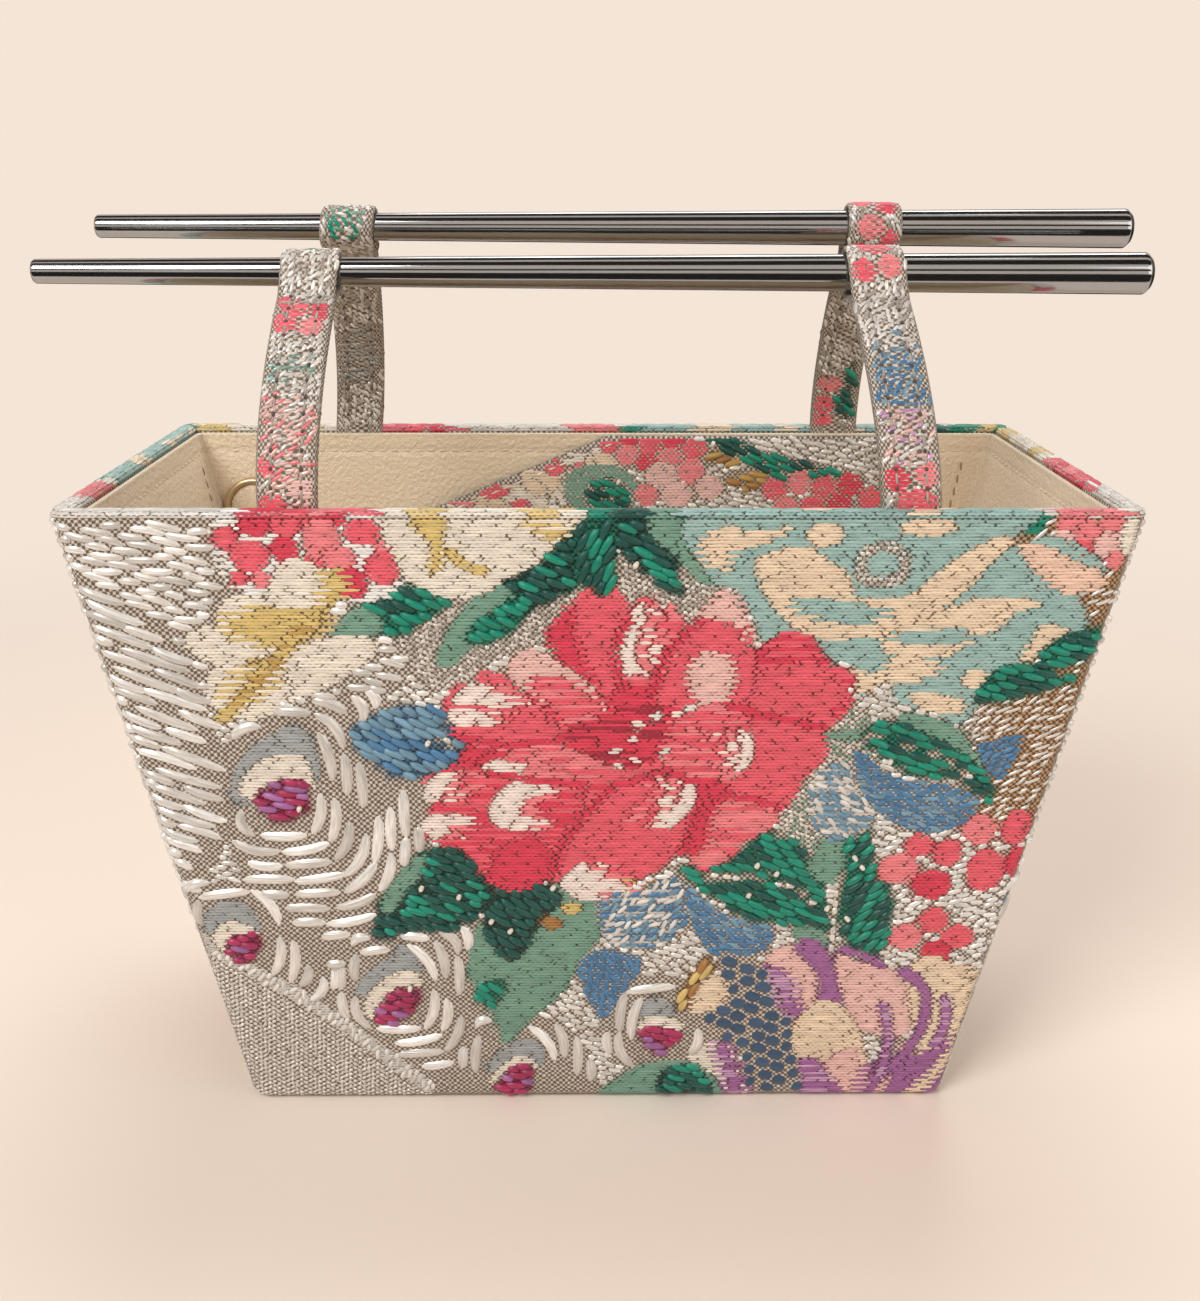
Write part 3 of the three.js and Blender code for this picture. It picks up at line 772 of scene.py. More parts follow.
# Feather eyes, each as the outlines of its cap, its drop and its heart
EYES = [
    ([(-79, 82), (-76, 92), (-70, 97), (-64.5, 99.5), (-60.5, 96), (-60, 86), (-68, 80)],
     [(-77, 83), (-75, 88.5), (-69, 92.5), (-63, 92.5), (-61, 88), (-62, 82), (-70, 80)],
     [(-74.5, 81), (-71, 85.5), (-65, 87), (-61.5, 84), (-62.5, 79), (-67.5, 76), (-72.5, 77.5)]),
    ([(-89, 49), (-86, 55), (-80, 56), (-76, 52), (-77, 46), (-84, 45)],
     [(-87, 46.5), (-84, 50.5), (-79, 50), (-76, 46.5), (-80, 42), (-85, 42.5)],
     [(-84.5, 43), (-82, 47), (-77, 47), (-76, 43), (-79, 39.5), (-82.5, 40)]),
    ([(-56, 31), (-53, 37), (-47, 41.5), (-44.5, 44.5), (-41, 41), (-40.5, 36), (-48, 30)],
     [(-54.5, 26), (-52, 32), (-47, 36.5), (-42, 37), (-40.5, 33), (-46, 27), (-51, 23.5)],
     [(-52, 24), (-49.5, 29.5), (-45, 33), (-41, 32.5), (-41.5, 28), (-44, 24), (-48, 22)]),
    ([(-26.5, 9), (-24, 13.5), (-19.5, 17), (-15.5, 18), (-12.5, 14.5), (-14, 9), (-20, 7)],
     [(-26, 5), (-23, 10), (-18.5, 13), (-15, 11.5), (-14.5, 8.5), (-20, 5)],
     [(-25, 4), (-22, 8), (-18.5, 10.5), (-15, 9.5), (-15.5, 4.5), (-18, 1.5), (-22.5, 1.5)]),
    ([(8.5, 24), (11, 29), (16, 28.5), (17.5, 24.5), (13, 22.5)],
     [(9, 20.5), (11, 24), (16, 24), (20, 21.5), (15, 19)],
     [(9.5, 19.5), (13, 21.5), (19.5, 19), (17.5, 15.5), (14, 13), (11, 15.5)]),
]


def paint_eyes(cloth):
    """Feather eyes: a grey cap, a white drop and a magenta heart."""
    for cap, drop, heart in EYES:
        cloth.silk("grey", cap)
        cloth.silk("white", drop)
        cloth.leaf("magenta magenta purple", heart, -12)


def paint_blossoms(cloth):
    """Clusters of small coral and pink blossoms."""
    cloth.silk("bright", [(-74, 147), (-74, 131), (-66, 129), (-58, 134), (-48, 127), (-40, 131),
                          (-40, 147)], 1.5)
    cloth.petals("coral deep coral blush", [
        (-58.6, 145, 6, 4), (-52.6, 144.8, 5.6, 4), (-74, 140.6, 5, 5), (-42, 140, 6, 5.4),
        (-57.6, 135, 5.4, 4.6), (-68, 143.4, 6.4, 4.6), (-62, 143.6, 6, 5), (-55, 140.4, 7.5, 9),
        (-69.5, 137, 8, 6.4), (-62.5, 138.4, 6, 5), (-47, 142, 7.5, 5.4), (-52, 136.6, 7, 5),
        (-43.4, 134.4, 7, 6.8), (-50, 131, 6.7, 6.5), (-72, 132.5, 3.4, 3), (-67.6, 132, 4, 3.6)], 1.05)
    cloth.petals("coral blush coral deep", [
        (70, 70, 6.5, 6), (66, 64, 9.5, 8), (76.7, 68, 6.6, 7), (74, 60, 9.4, 8), (85.5, 63.6, 9, 11),
        (83, 74, 8, 7.5), (91, 74.6, 7, 9), (93, 65.5, 7, 8.5), (75.4, 50.4, 7, 7), (69.3, 46, 8, 7),
        (81, 46, 8, 6.6), (76.5, 42, 7.4, 6)])
    cloth.petals("blush pink blush coral", [
        (93.5, 143.6, 6, 5), (92, 140, 4.4, 4), (97.4, 141.6, 5.6, 5), (95.6, 138, 5, 4),
        (101.6, 144.4, 5.4, 4), (101, 139.4, 5, 4.6), (103, 136, 3.4, 3.4)], 1.2)
    cloth.oval("white", 105.4, 141, 4.6, 8)
    cloth.petals("emerald", [(86.6, 145, 4, 2.4), (86, 142.4, 3.6, 2.2)])


# White petals of the first cream flower
CREAM_PETALS = [
    [(-67, 126), (-66, 132), (-63, 136), (-58, 136), (-54, 132), (-54, 127), (-60, 123)],
    [(-78, 124), (-75, 128), (-71, 129), (-66, 127), (-65, 124), (-71, 122)],
    [(-85, 119), (-80, 122), (-73, 123), (-65, 121), (-66, 117), (-75, 113), (-82, 115)],
    [(-82, 108), (-79, 113), (-73, 114), (-70, 110), (-75, 104), (-80, 103)],
    [(-64, 116), (-58, 119), (-50, 120), (-45, 118), (-49, 113), (-57, 108), (-65, 105), (-68, 109)],
    [(-77, 102), (-71, 101), (-65, 105), (-64, 110), (-69, 111), (-75, 107)],
]


def paint_cream_flowers(cloth):
    """Two cream flowers with gold hearts at the upper left."""
    for petal in CREAM_PETALS:
        cloth.silk("white", petal)
    cloth.silk("gold", [(-57, 124), (-53, 127), (-50, 130), (-52, 134), (-55, 134), (-56, 129)], 2.2)
    cloth.silk("gold", [(-77, 122), (-70, 126), (-62, 126), (-55, 124), (-57, 120), (-66, 117),
                        (-72, 119)], 4.2)
    cloth.silk("gold", [(-77, 106), (-74, 112), (-69, 115), (-67, 112), (-70, 107), (-74, 104)], 3.4)
    cloth.stripe("gold old_gold gold", [(-79, 101), (-71, 109), (-64, 117), (-58, 124)], 2.6, hatch=1.2)
    cloth.silk("white", [(-41, 147), (-40, 134), (-37, 131), (-31, 128), (-23, 129), (-19, 132),
                         (-13, 135), (-9, 139), (-6, 142), (-6, 147)])
    cloth.silk("gold", [(-38, 144), (-34, 145), (-30, 144), (-31, 141), (-32, 134), (-34, 134),
                        (-34, 140)], 0.8)
    cloth.silk("gold white", [(-16, 145), (-10, 145), (-5, 143), (-9, 140)], 2.2)
    cloth.stripe("gold", [(-30, 138), (-27, 135), (-23, 134)], 2.0)


def paint_top_leaves(cloth):
    """Emerald, dark and sage fronds at the top."""
    cloth.leaf("emerald emerald dark", [(-55, 120), (-50, 126), (-44, 131), (-38, 133), (-33, 132),
                                        (-29, 128), (-35, 123), (-42, 120)])
    cloth.silk("sage", [(-55, 120), (-51, 125), (-46, 126), (-44, 121), (-49, 120)])
    cloth.leaf("dark emerald", [(-6, 147), (-7, 141), (-14, 137), (-21, 132), (-21, 127), (-15, 125),
                                (-8, 128), (-4, 131), (-1, 137), (0, 147)])
    cloth.silk("sage", [(-21, 132), (-26, 128), (-31, 121), (-34, 114), (-30, 113), (-26, 117),
                        (-20, 121), (-16, 126)])
    cloth.leaf("emerald", [(-27, 118), (-20, 119), (-15, 124), (-17, 128), (-22, 125), (-26, 122)])
    cloth.leaf("emerald dark", [(-3, 147), (-5, 139), (-5, 132), (-2, 129), (2, 128), (4, 132), (3, 139),
                                (2, 147)], 64)
    cloth.leaf("dark emerald", [(4, 147), (4, 138), (9, 133), (13, 130), (17, 128), (16, 133), (15, 139),
                                (16, 147)])
    cloth.silk("sage", [(10, 146), (15, 145), (19, 141), (21, 136), (23, 131), (19, 132), (15, 137),
                        (10, 141)])


# Darker folds where one peony petal goes under the next
PEONY_FOLDS = [
    [(-10, 63), (-8, 70), (-3, 78), (3, 85)],
    [(-23, 88), (-10, 86), (3, 85), (12, 88)],
    [(-30, 97), (-20, 95), (-8, 96)],
    [(14, 89), (20, 86), (25, 86)],
    [(20, 76), (24, 82), (31, 82), (38, 80)],
    [(11, 107), (14, 116), (20, 123)],
    [(27, 104), (38, 101), (46, 99)],
    [(5, 108), (3, 116), (6, 123)],
    [(-20, 93), (-32, 89)],
]


def paint_peony(cloth):
    """The big coral peony in the middle, from its outer petals to its heart."""
    cloth.silk("deep", [(-22, 100), (0, 116), (25, 114), (44, 100), (34, 80), (12, 66), (-20, 70), (-32, 86)])
    cloth.silk("deep coral", [(31, 114), (35, 119), (39, 121), (44, 119), (47, 114), (53, 111), (52, 107),
                              (53, 105), (50, 100), (46, 98), (39, 101), (27, 104)])
    cloth.silk("coral", [(30, 104), (32, 110), (37, 113), (44, 114), (49, 110), (52, 106), (47, 102),
                         (38, 101)], 1.0)
    cloth.silk("coral", [(28, 99), (43, 101), (48, 96), (48, 91), (44, 87), (42, 82), (39, 79), (30, 82),
                         (25, 90)], 0.8)
    cloth.silk("coral", [(11, 106), (14, 116), (20, 123), (25, 127), (30, 124), (32, 119), (32, 112),
                         (31, 106), (20, 103)])
    cloth.silk("pink", [(20, 124), (22, 127), (25, 130), (29, 127), (31, 121), (31, 116), (28, 122)], 1.3)
    cloth.oval("pink", 23.2, 110.2, 10.6, 12.8, hatch=1.0)
    cloth.silk("coral blush", [(8, 128), (12, 127), (16, 125), (17, 122), (14, 116), (12, 109), (6, 109),
                               (3, 115), (4, 121)])
    cloth.tip([(5, 111), (4, 116), (5, 122), (7, 126), (9, 127), (8, 122), (7, 117), (8, 112)])
    cloth.silk("coral", [(-3, 130), (-9, 124), (-10, 120), (-8, 115), (-1, 106), (4, 109), (3, 116),
                         (6, 124), (6, 127), (3, 130), (0, 128)])
    cloth.silk("deep", [(-6, 127), (-5, 121), (-3, 114), (0, 107), (-4, 109), (-8, 114), (-11, 120),
                        (-9, 123)], 1.2)
    cloth.silk("pink", [(-19, 111), (-18, 115), (-14, 117), (-10, 115), (-3, 110), (2, 103), (-4, 100),
                        (-9, 102), (-14, 106)])
    cloth.silk("coral blush", [(-15, 109), (-9, 111), (-3, 108), (2, 103), (-4, 100), (-9, 101)], 2.0)
    cloth.silk("coral", [(-26, 110), (-24, 112), (-20, 111), (-15, 106), (-10, 101), (-5, 98), (-10, 97),
                         (-15, 100), (-20, 106)])
    cloth.silk("coral", [(-32, 106), (-29, 109), (-25, 109), (-18, 104), (-10, 100), (-7, 97), (-13, 95),
                         (-24, 94), (-30, 97), (-32, 101)])
    cloth.tip([(-31, 105), (-27, 109), (-22, 107), (-20, 104), (-26, 104)])
    cloth.tip([(-32, 103), (-27, 103), (-24, 101), (-28, 99), (-31, 100)])
    cloth.silk("blush coral", [(28, 82), (35, 82), (39, 77), (37, 74), (32, 71), (30, 68), (24, 64),
                               (20, 66), (20, 74)])
    cloth.silk("deep", [(20, 67), (23, 70), (24, 76), (26, 82), (21, 80), (19, 72)], 1.0)
    cloth.silk("coral deep", [(-36, 88), (-38, 84), (-36, 80), (-39, 74), (-34, 70), (-30, 69), (-27, 65),
                              (-24, 60), (-18, 58), (-14, 60), (-10, 63), (-8, 72), (-2, 80), (-8, 87),
                              (-22, 89)])
    cloth.silk("deep", [(-25, 64), (-23, 60), (-18, 59), (-12, 61), (-10, 66), (-13, 72), (-20, 71)], 1.0)
    cloth.tip([(-8, 86), (-16, 87), (-21, 84), (-24, 79), (-22, 75), (-15, 74), (-17, 77), (-18, 80),
               (-15, 83)])
    cloth.tip([(-38, 82), (-36, 87), (-32, 89), (-33, 85), (-35, 81)])
    cloth.tip([(-39, 75), (-36, 78), (-32, 77), (-34, 73), (-36, 72)])
    cloth.silk("coral", [(-2, 85), (8, 90), (16, 91), (20, 88), (20, 80), (19, 74), (16, 67), (10, 62),
                         (3, 62), (-3, 66), (-6, 63), (-10, 61), (-9, 70), (-4, 75)])
    cloth.tip([(17, 89), (20, 86), (21, 82), (19, 78), (16, 75), (13, 75), (16, 79), (18, 84)], -1)
    cloth.tip([(-9, 60), (-6, 64), (-3, 66), (-1, 62), (2, 60), (-1, 57), (-4, 56)])
    cloth.silk("blush coral", [(-25, 90), (-20, 95), (-11, 96), (-4, 93), (3, 90), (10, 87), (-5, 85),
                               (-17, 86)])
    cloth.tip([(-25, 90), (-21, 91), (-17, 89), (-18, 87), (-23, 87)])
    cloth.silk("coral blush", [(12, 97), (15, 101), (26, 105), (31, 102), (32, 96), (32, 90), (26, 86),
                               (15, 89)])
    cloth.tip([(29, 99), (32, 97), (33, 93), (32, 90), (29, 88), (30, 92), (30, 96)], -1)
    for fold in PEONY_FOLDS:
        cloth.stripe("deep", fold, 1.5, hatch=0.8)
    cloth.silk("deep deep maroon", [(-9, 96), (-3, 100), (4, 103), (12, 104), (15, 101), (13, 95),
                                    (11, 91), (4, 89), (-3, 93)], 1.4)
    cloth.petals("tip silver", [(8, 99.8, 3.4, 1.7), (11.8, 101.6, 3, 1.7), (16, 102.2, 3, 1.7),
                                (19, 103.4, 2.6, 1.7), (7, 96, 2.8, 1.7), (3.4, 93.4, 3, 1.7),
                                (7.6, 91.2, 2.8, 1.7), (14, 93.2, 2.6, 1.7), (4, 90, 2.4, 1.7)])


def paint_teal_flower(cloth):
    """The pale teal flower with cream and peach ribbons at the upper right."""
    cloth.silk("teal", [(20, 147), (83, 147), (80, 139), (91, 141), (100, 136), (101, 132), (96, 130),
                        (99, 125), (98, 120), (90, 115), (81, 111), (80, 106), (76, 100), (70, 102),
                        (62, 105), (60, 111), (54, 106), (53, 112), (47, 115), (44, 119), (40, 121),
                        (34, 118), (31, 124), (27, 130), (22, 132)])
    cloth.silk("cream", [(20, 141), (25, 143), (31, 142), (38, 143), (32, 139), (27, 138), (26, 134),
                         (23, 134), (20, 137)], 1.6)
    cloth.petals("cream", [(44.6, 141.4, 8, 5), (65, 143, 11, 4), (78, 110, 6.5, 4.4)])
    cloth.silk("cream", [(31, 136), (35, 138), (41, 139), (46, 136), (50, 133), (52, 128), (58, 128),
                         (63, 129), (67, 133), (72, 137), (79, 141), (82, 140), (78, 135), (75, 131),
                         (70, 126), (63, 122), (59, 120), (52, 119), (45, 119), (39, 122), (35, 126),
                         (32, 131)])
    cloth.silk("teal", [(38, 127), (45, 128), (56, 126), (59, 125), (56, 123), (49, 122), (43, 124)], 2.4)
    cloth.silk("cream", [(58, 120), (67, 124), (73, 127), (80, 128), (86, 128), (90, 126), (85, 125),
                         (81, 121), (76, 118), (71, 115), (64, 115), (59, 116)], 0.8)
    cloth.silk("teal", [(59, 120), (66, 121), (74, 121), (78, 119), (70, 118), (62, 118)], 2.4)
    cloth.silk("peach", [(83, 139), (89, 139), (95, 136), (102, 133), (101, 130), (94, 129), (89, 132)], 0.8)
    cloth.silk("cream", [(90, 122), (94, 122), (96, 120), (92, 117), (89, 114), (87, 115)], 0.8)
    cloth.silk("cream", [(59, 114), (65, 115), (71, 113), (69, 111), (64, 109), (59, 110)], 1.4)
    cloth.silk("cream", [(64, 107), (69, 107), (76, 105), (76, 102), (71, 102), (66, 104)], 0.8)
    cloth.silk("cream", [(52, 112), (58, 111), (57, 108), (54, 107)], 1.2)
    cloth.oval("silver shade", 56.6, 135, 12, 10.4, "dot")
    cloth.oval("teal", 56.4, 135.2, 7, 5.4)
    cloth.oval("teal", 63.4, 135.6, 3.4, 3.4)


def paint_right_leaves(cloth):
    """Leaves at the right edge and the long leaf with a pale midrib."""
    cloth.leaf("emerald dark", [(90, 115), (95, 120), (103, 121), (106, 118), (100, 114), (95, 113)], -12)
    cloth.leaf("emerald emerald dark", [(78, 105), (82, 112), (88, 114), (95, 112), (99, 110), (92, 107),
                                        (84, 105)], -14)
    cloth.stripe("sage", [(46, 96), (50, 97), (56, 97)], 2.0)
    cloth.leaf("emerald emerald dark", [(55, 96), (58, 100), (67, 101), (74, 99), (80, 93), (85, 85),
                                        (84, 81), (77, 86), (68, 87), (62, 90)], -20)
    cloth.silk("sage", [(62, 101), (67, 102), (75, 99), (80, 93), (83, 88), (77, 93), (70, 97)])
    cloth.stripe("white silver", [(56, 97), (64, 95), (72, 92), (80, 87)], 1.3, "bead", -20)
    cloth.field("curl", "blue blue steel_blue", [(54, 94), (63, 87), (71, 86), (82, 82), (80, 76),
                                                 (71, 73), (62, 77), (56, 83)], -22)
    cloth.field("curl", "blue", [(90, 97), (88, 90), (85, 86), (80, 94), (84, 96)], 30)
    cloth.field("curl", "steel_blue silver", [(45, 86), (52, 91), (56, 84), (60, 76), (52, 71), (46, 76)],
                -30)
    cloth.field("curl", "blue steel_blue", [(90, 50), (91, 57), (95, 62), (98, 60), (96, 52)], 50)


def paint_low_leaves(cloth):
    """Leaves and blue feathers under the peony."""
    cloth.leaf("dark emerald dark", [(-43, 65), (-49, 56), (-50, 46), (-40, 48), (-33, 48), (-25, 54),
                                     (-24, 61), (-30, 69), (-38, 69)])
    cloth.silk("sage", [(-49, 54), (-46, 61), (-42, 66), (-38, 68), (-39, 63), (-43, 58), (-46, 53)])
    cloth.silk("sage", [(-21, 59), (-8, 60), (1, 56), (0, 46), (-4, 39), (-9, 30), (-16, 23), (-22, 16),
                        (-24, 23), (-27, 29), (-30, 37), (-28, 48)])
    cloth.leaf("dark", [(-26, 49), (-23, 58), (-14, 61), (-8, 57), (-13, 50), (-17, 42), (-21, 40)], -34)
    cloth.leaf("emerald", [(-28, 29), (-27, 33), (-23, 35), (-21, 33), (-24, 27)], -34)
    cloth.petals("brown gold", [(-10.6, 50, 5, 3.4), (-6, 54, 5, 3.2), (-1, 57.6, 4.4, 3),
                                (6, 60.4, 4, 3.4), (11.4, 59.4, 3.6, 3.8)])
    cloth.field("curl", "steel_blue silver blue", [(0, 59), (8, 58), (14, 62), (19, 60), (20, 50),
                                                   (14, 44), (6, 43), (1, 46)], 40)
    cloth.field("curl", "blue blue steel_blue", [(19, 60), (24, 56), (29, 52), (39, 49), (38, 43),
                                                 (30, 40), (25, 42), (21, 49)], -30)
    cloth.field("curl", "blue", [(-5, 38), (-2, 42), (3, 43), (10, 40), (8, 34), (5, 29), (1, 23),
                                 (-2, 28), (-4, 33)], -60)
    cloth.leaf("emerald emerald dark", [(18, 64), (22, 67), (30, 68), (36, 73), (43, 71), (47, 66),
                                        (50, 59), (52, 47), (40, 50), (34, 50), (28, 55), (22, 59)])
    cloth.stripe("white silver", [(24, 62), (32, 62), (41, 60), (49, 54)], 1.3, "bead", -10)
    cloth.silk("sage", [(46, 64), (50, 74), (54, 75), (54, 62), (51, 60)])
    cloth.leaf("emerald emerald dark", [(57, 79), (59, 76), (60, 69), (62, 64), (65, 59), (66, 51),
                                        (64, 42), (59, 43), (54, 48), (54, 62), (54, 73)], 40)
    cloth.silk("sage", [(43, 48), (48, 49), (53, 45), (53, 41), (47, 43)])
    cloth.stripe("white silver", [(53, 41), (53, 52), (54, 63)], 1.6, "bead", 90)
    cloth.leaf("blue steel_blue", [(-53, 97), (-48, 102), (-40, 104), (-36, 104), (-32, 102), (-29, 96),
                                   (-26, 93), (-34, 88), (-42, 87), (-50, 92)], -30)
    cloth.stripe("white silver", [(-34, 97), (-30, 93), (-26, 92)], 1.5, "bead", -40)


def paint_lily(cloth):
    """The purple, pink and cream lily with its stem of navy scales at the lower right."""
    scales = [(27, 41), (38, 39), (41, 30), (45, 22), (47, 14), (50, -1), (36, -1), (34, 11), (31, 17),
              (25, 23), (30, 31)]
    cloth.field("scale", "navy", scales, -24)
    cloth.leaf("brown gold", [(18, 26), (19, 32), (22, 39), (26, 41), (26, 34), (22, 28)], 62)
    cloth.silk("cream", [(21, 28), (23, 33), (27, 36), (30, 31), (27, 26), (22, 25)], 0.9)
    cloth.silk("pink", [(38, 41), (44, 44), (50, 38), (50, 29), (48, 24), (45, 23), (41, 31), (39, 36)])
    cloth.silk("purple lilac", [(38, 39), (42, 37), (45, 34), (46, 29), (48, 25), (45, 23), (41, 29),
                                (39, 35)], 1.7)
    cloth.silk("purple", [(44, 43), (48, 46), (52, 42), (55, 36), (57, 28), (51, 27), (50, 36)], 0.8)
    cloth.silk("pink", [(54, 41), (60, 39), (69, 37), (73, 31), (73, 19), (61, 20), (56, 30)])
    cloth.stripe("purple", [(55, 43), (60, 41), (65, 38)], 1.9)
    cloth.silk("cream", [(71, 38), (77, 41), (80, 39), (85, 38), (91, 35), (90, 27), (84, 15), (76, 12),
                         (73, 22)])
    cloth.silk("cream", [(45, 20), (50, 28), (55, 28), (60, 22), (63, 14), (65, 3), (57, 1), (53, 9),
                         (47, 12)])
    cloth.silk("pink", [(53, 10), (58, 15), (62, 13), (64, 3), (58, 1)], 1.4)
    cloth.silk("purple lilac", [(47, 12), (52, 11), (56, 5), (60, -1), (49, -1), (48, 6)], 1.0)
    cloth.silk("purple", [(64, -1), (64, 9), (70, 12), (78, 14), (88, 20), (87, 8), (83, -1)], 3.0)
    cloth.stripe("cream", [(89, 26), (85, 15), (79, 6), (74, -1)], 3.0, hatch=1.6)
    cloth.stripe("pink", [(72, 16), (69, 8), (67, 0)], 1.6, hatch=0.8)
    cloth.stripe("purple", [(69, 37), (74, 33), (76, 27), (75, 19), (70, 10), (65, 5)], 2.8, hatch=0.7)
    cloth.stripe("purple lilac", [(80, 29), (81, 22), (79, 15)], 2.6, hatch=0.6)
    cloth.stripe("purple lilac", [(66, 27), (68, 17), (67, 7)], 2.4, hatch=0.6)
    cloth.silk("white", [(21, 11), (24, 16), (31, 16), (34, 8), (36, -1), (26, -1)])
    cloth.silk("purple lilac", [(27, 16), (31, 16), (34, 8), (36, -1), (30, -1), (29, 7)], 2.2)
    cloth.silk("sage", [(0, -1), (8, 9), (15, 11), (22, 11), (28, 5), (28, -2)])
    cloth.leaf("dark emerald", [(14, 4), (16, 9), (22, 10), (27, 4), (26, -1), (16, -1)], -20)


for paint in (paint_ground, paint_top_leaves, paint_low_leaves, paint_eyes, paint_blossoms,
              paint_cream_flowers, paint_teal_flower, paint_right_leaves, paint_peony, paint_lily):
    paint(brocade)


# The cover: ground cloth, and threads on each side and over the rim

SIDE_MIDDLES = dict(zip(SIDES, np.cumsum([0, *[(TOP_WIDTH + TOP_DEPTH) / 2] * 3])))
# Where each side's middle lies on the cloth's repeat
CLOTH_MIDDLES = {"front": 0.0, "right": 157.0, "back": 300.0, "left": 69.0}
REPEATS = range(-3, 4)
# A side's edges: threads nearer level than this angle are cut there, and others stay clear of them
LEVEL_ANGLE = 0.5
LEAST_FLOAT = 0.8
CORNER_CLEAR, BASE_CLEAR, RIM_OVERLAP = 1.0, 0.2, 0.4
# Where the ground turns brown, and over how far, along and up the cloth
BROWN_FROM, BROWN_ACROSS = 76, 8
BROWN_ABOVE, BROWN_RISE = 66, 10
# Floats over the rim: pitch, least and further length, gap, width, height and shade
RIM_PITCH = 0.85
RIM_LENGTH, RIM_LENGTH_SPREAD, RIM_GAP = 2.4, 5.0, 0.15
RIM_WIDTH, RIM_THREAD = 1.3, 0.36
RIM_TONE, RIM_TONE_SPREAD = 0.8, 0.3


def placed(threads, side):
    """Threads of the cloth's repeat that fall on a side, cut off at its edges."""
    middle = CLOTH_MIDDLES[side]
    copies = [0] if side == "front" else REPEATS
    kept = []
    for copy in copies:
        moved = threads.copy()
        moved[:, 0] += copy * REPEAT - middle
        if side != "front":
            moved = moved[np.abs(threads[:, 0]) <= REPEAT / 2]
        kept.append(moved)
    found = np.concatenate(kept)
    s, t, angle, length, width = found.T[:5].copy()
    reach = side_reach(side, t)
    half = length / 2 * np.cos(angle)
    low, high = np.maximum(s - half, -reach), np.minimum(s + half, reach)
    level = np.abs(angle) < LEVEL_ANGLE
    keep = np.where(level, high - low > LEAST_FLOAT, np.abs(s) + half < reach - CORNER_CLEAR)
    trim = level & keep
    slant = np.where(level, angle, 0)
    t = np.where(trim, t + ((low + high) / 2 - s) * np.tan(slant), t)
    s = np.where(trim, (low + high) / 2, s)
    length = np.where(trim, (high - low) / np.cos(slant), length)
    found[:, 0], found[:, 1], found[:, 3] = s, t, length
    tall = length / 2 * np.abs(np.sin(angle)) + width / 2 * np.abs(np.cos(angle))
    return found[keep & (t - tall > BASE_CLEAR) & (t + tall < HEIGHT - RIM_EDGE + RIM_OVERLAP)]


def ground_colour(side, s, t):
    """Silver ground, turning brown near the cloth's right edge, with painted shade under silk and leaves."""
    at = (s + CLOTH_MIDDLES[side] + REPEAT / 2) % REPEAT - REPEAT / 2 if side != "front" else s
    across, up = (at - BROWN_FROM) / BROWN_ACROSS, (t - BROWN_ABOVE) / BROWN_RISE
    brown = np.clip(across, 0, 1) * np.clip(up, 0, 1)
    tint = linear(GROUND_SILVER) + brown[..., None] * (linear(GROUND_BROWN) - linear(GROUND_SILVER))
    # Painted shade: under silk and leaf fields the ground is the field's colour darkened by UNDER_SHADE
    covered = np.array([field["kind"] in ("silk", "leaf") for field in brocade.fields] + [False])
    under = np.array([linear(COLOURS[field["colours"][0]]) * UNDER_SHADE for field in brocade.fields]
                     + [(0, 0, 0)])
    shows = brocade.top(at, t)
    return np.where(covered[shows][..., None], under[shows], tint)


def cover_outline():
    """Inset and height from under the base, up the outside, over the rim and back down inside the cloth."""
    turn = np.linspace(0, math.pi / 2, 5)
    edge = [(BASE_EDGE * (1 - math.sin(a)), BASE_EDGE * (1 - math.cos(a))) for a in turn]
    wall = [(0.0, z) for z in np.linspace(BASE_EDGE, HEIGHT - RIM_EDGE, 66)[1:-1]]
    rim = list(zip(RIM_INSET, RIM_HEIGHT))
    hem = [(HEM_INSIDE, HEIGHT - HEM), (HEM_OUTSIDE, HEIGHT - HEM), (HEM_OUTSIDE, HEIGHT - COVER)]
    inside = [(COVER, HEIGHT - COVER), (COVER, HEIGHT / 2), (COVER, BASE_EDGE), (COVER + 1.0, COVER)]
    return edge + wall + rim + hem + inside


def side_stations(side, spacing=2.2):
    """Places along a side, as shares of its reach, closer together round the corners."""
    flat = (half_side(side, HEIGHT) - CORNER) / side_reach(side, HEIGHT)
    count = int(2 * half_side(side, HEIGHT) / spacing)
    middle = np.linspace(-flat, flat, count)
    corner = np.linspace(flat, 1, 4)[1:]
    return np.concatenate([-corner[::-1], middle, corner[:-1]])


def cover():
    """The ground cloth of the bag, closed underneath and turned in at the rim."""
    outline = np.array(cover_outline())
    inset, z = outline[:, :1], outline[:, 1:]
    points, maps, tints = [], [], []
    way = np.concatenate([[0], np.cumsum(np.hypot(*np.diff(outline, axis=0).T))])[:, None]
    for side in SIDES:
        share = side_stations(side)
        s = share * side_reach(side, z)
        points.append(on_side(side, s, inset, z))
        maps.append(np.stack([SIDE_MIDDLES[side] + s, way + 0 * s], -1))
        tints.append(ground_colour(side, s, z + 0 * s))
    points, maps, tints = (np.concatenate(part, 1) for part in (points, maps, tints))
    rows, columns = points.shape[:2]
    quads = grid_quads(rows, columns, round_columns=True)
    maps, tints, points = maps.reshape(-1, 2), tints.reshape(-1, 3), points.reshape(-1, 3)
    floors = [(np.array([[0, 0, 0.0]]), 0), (np.array([[0, 0, COVER]]), rows - 1)]
    for centre, row in floors:
        middle = len(points)
        points = np.concatenate([points, centre])
        maps = np.concatenate([maps, [[0, way[row, 0] - 40]]])
        tints = np.concatenate([tints, tints[:1]])
        quads = np.concatenate([quads, floor_fan(row, columns, middle)])
    piece = mesh_piece("brocade_cover", points, quads, NET, {"cloth": maps[quads.ravel()]}, {"ground": tints})
    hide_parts("outer_cover")
    return piece


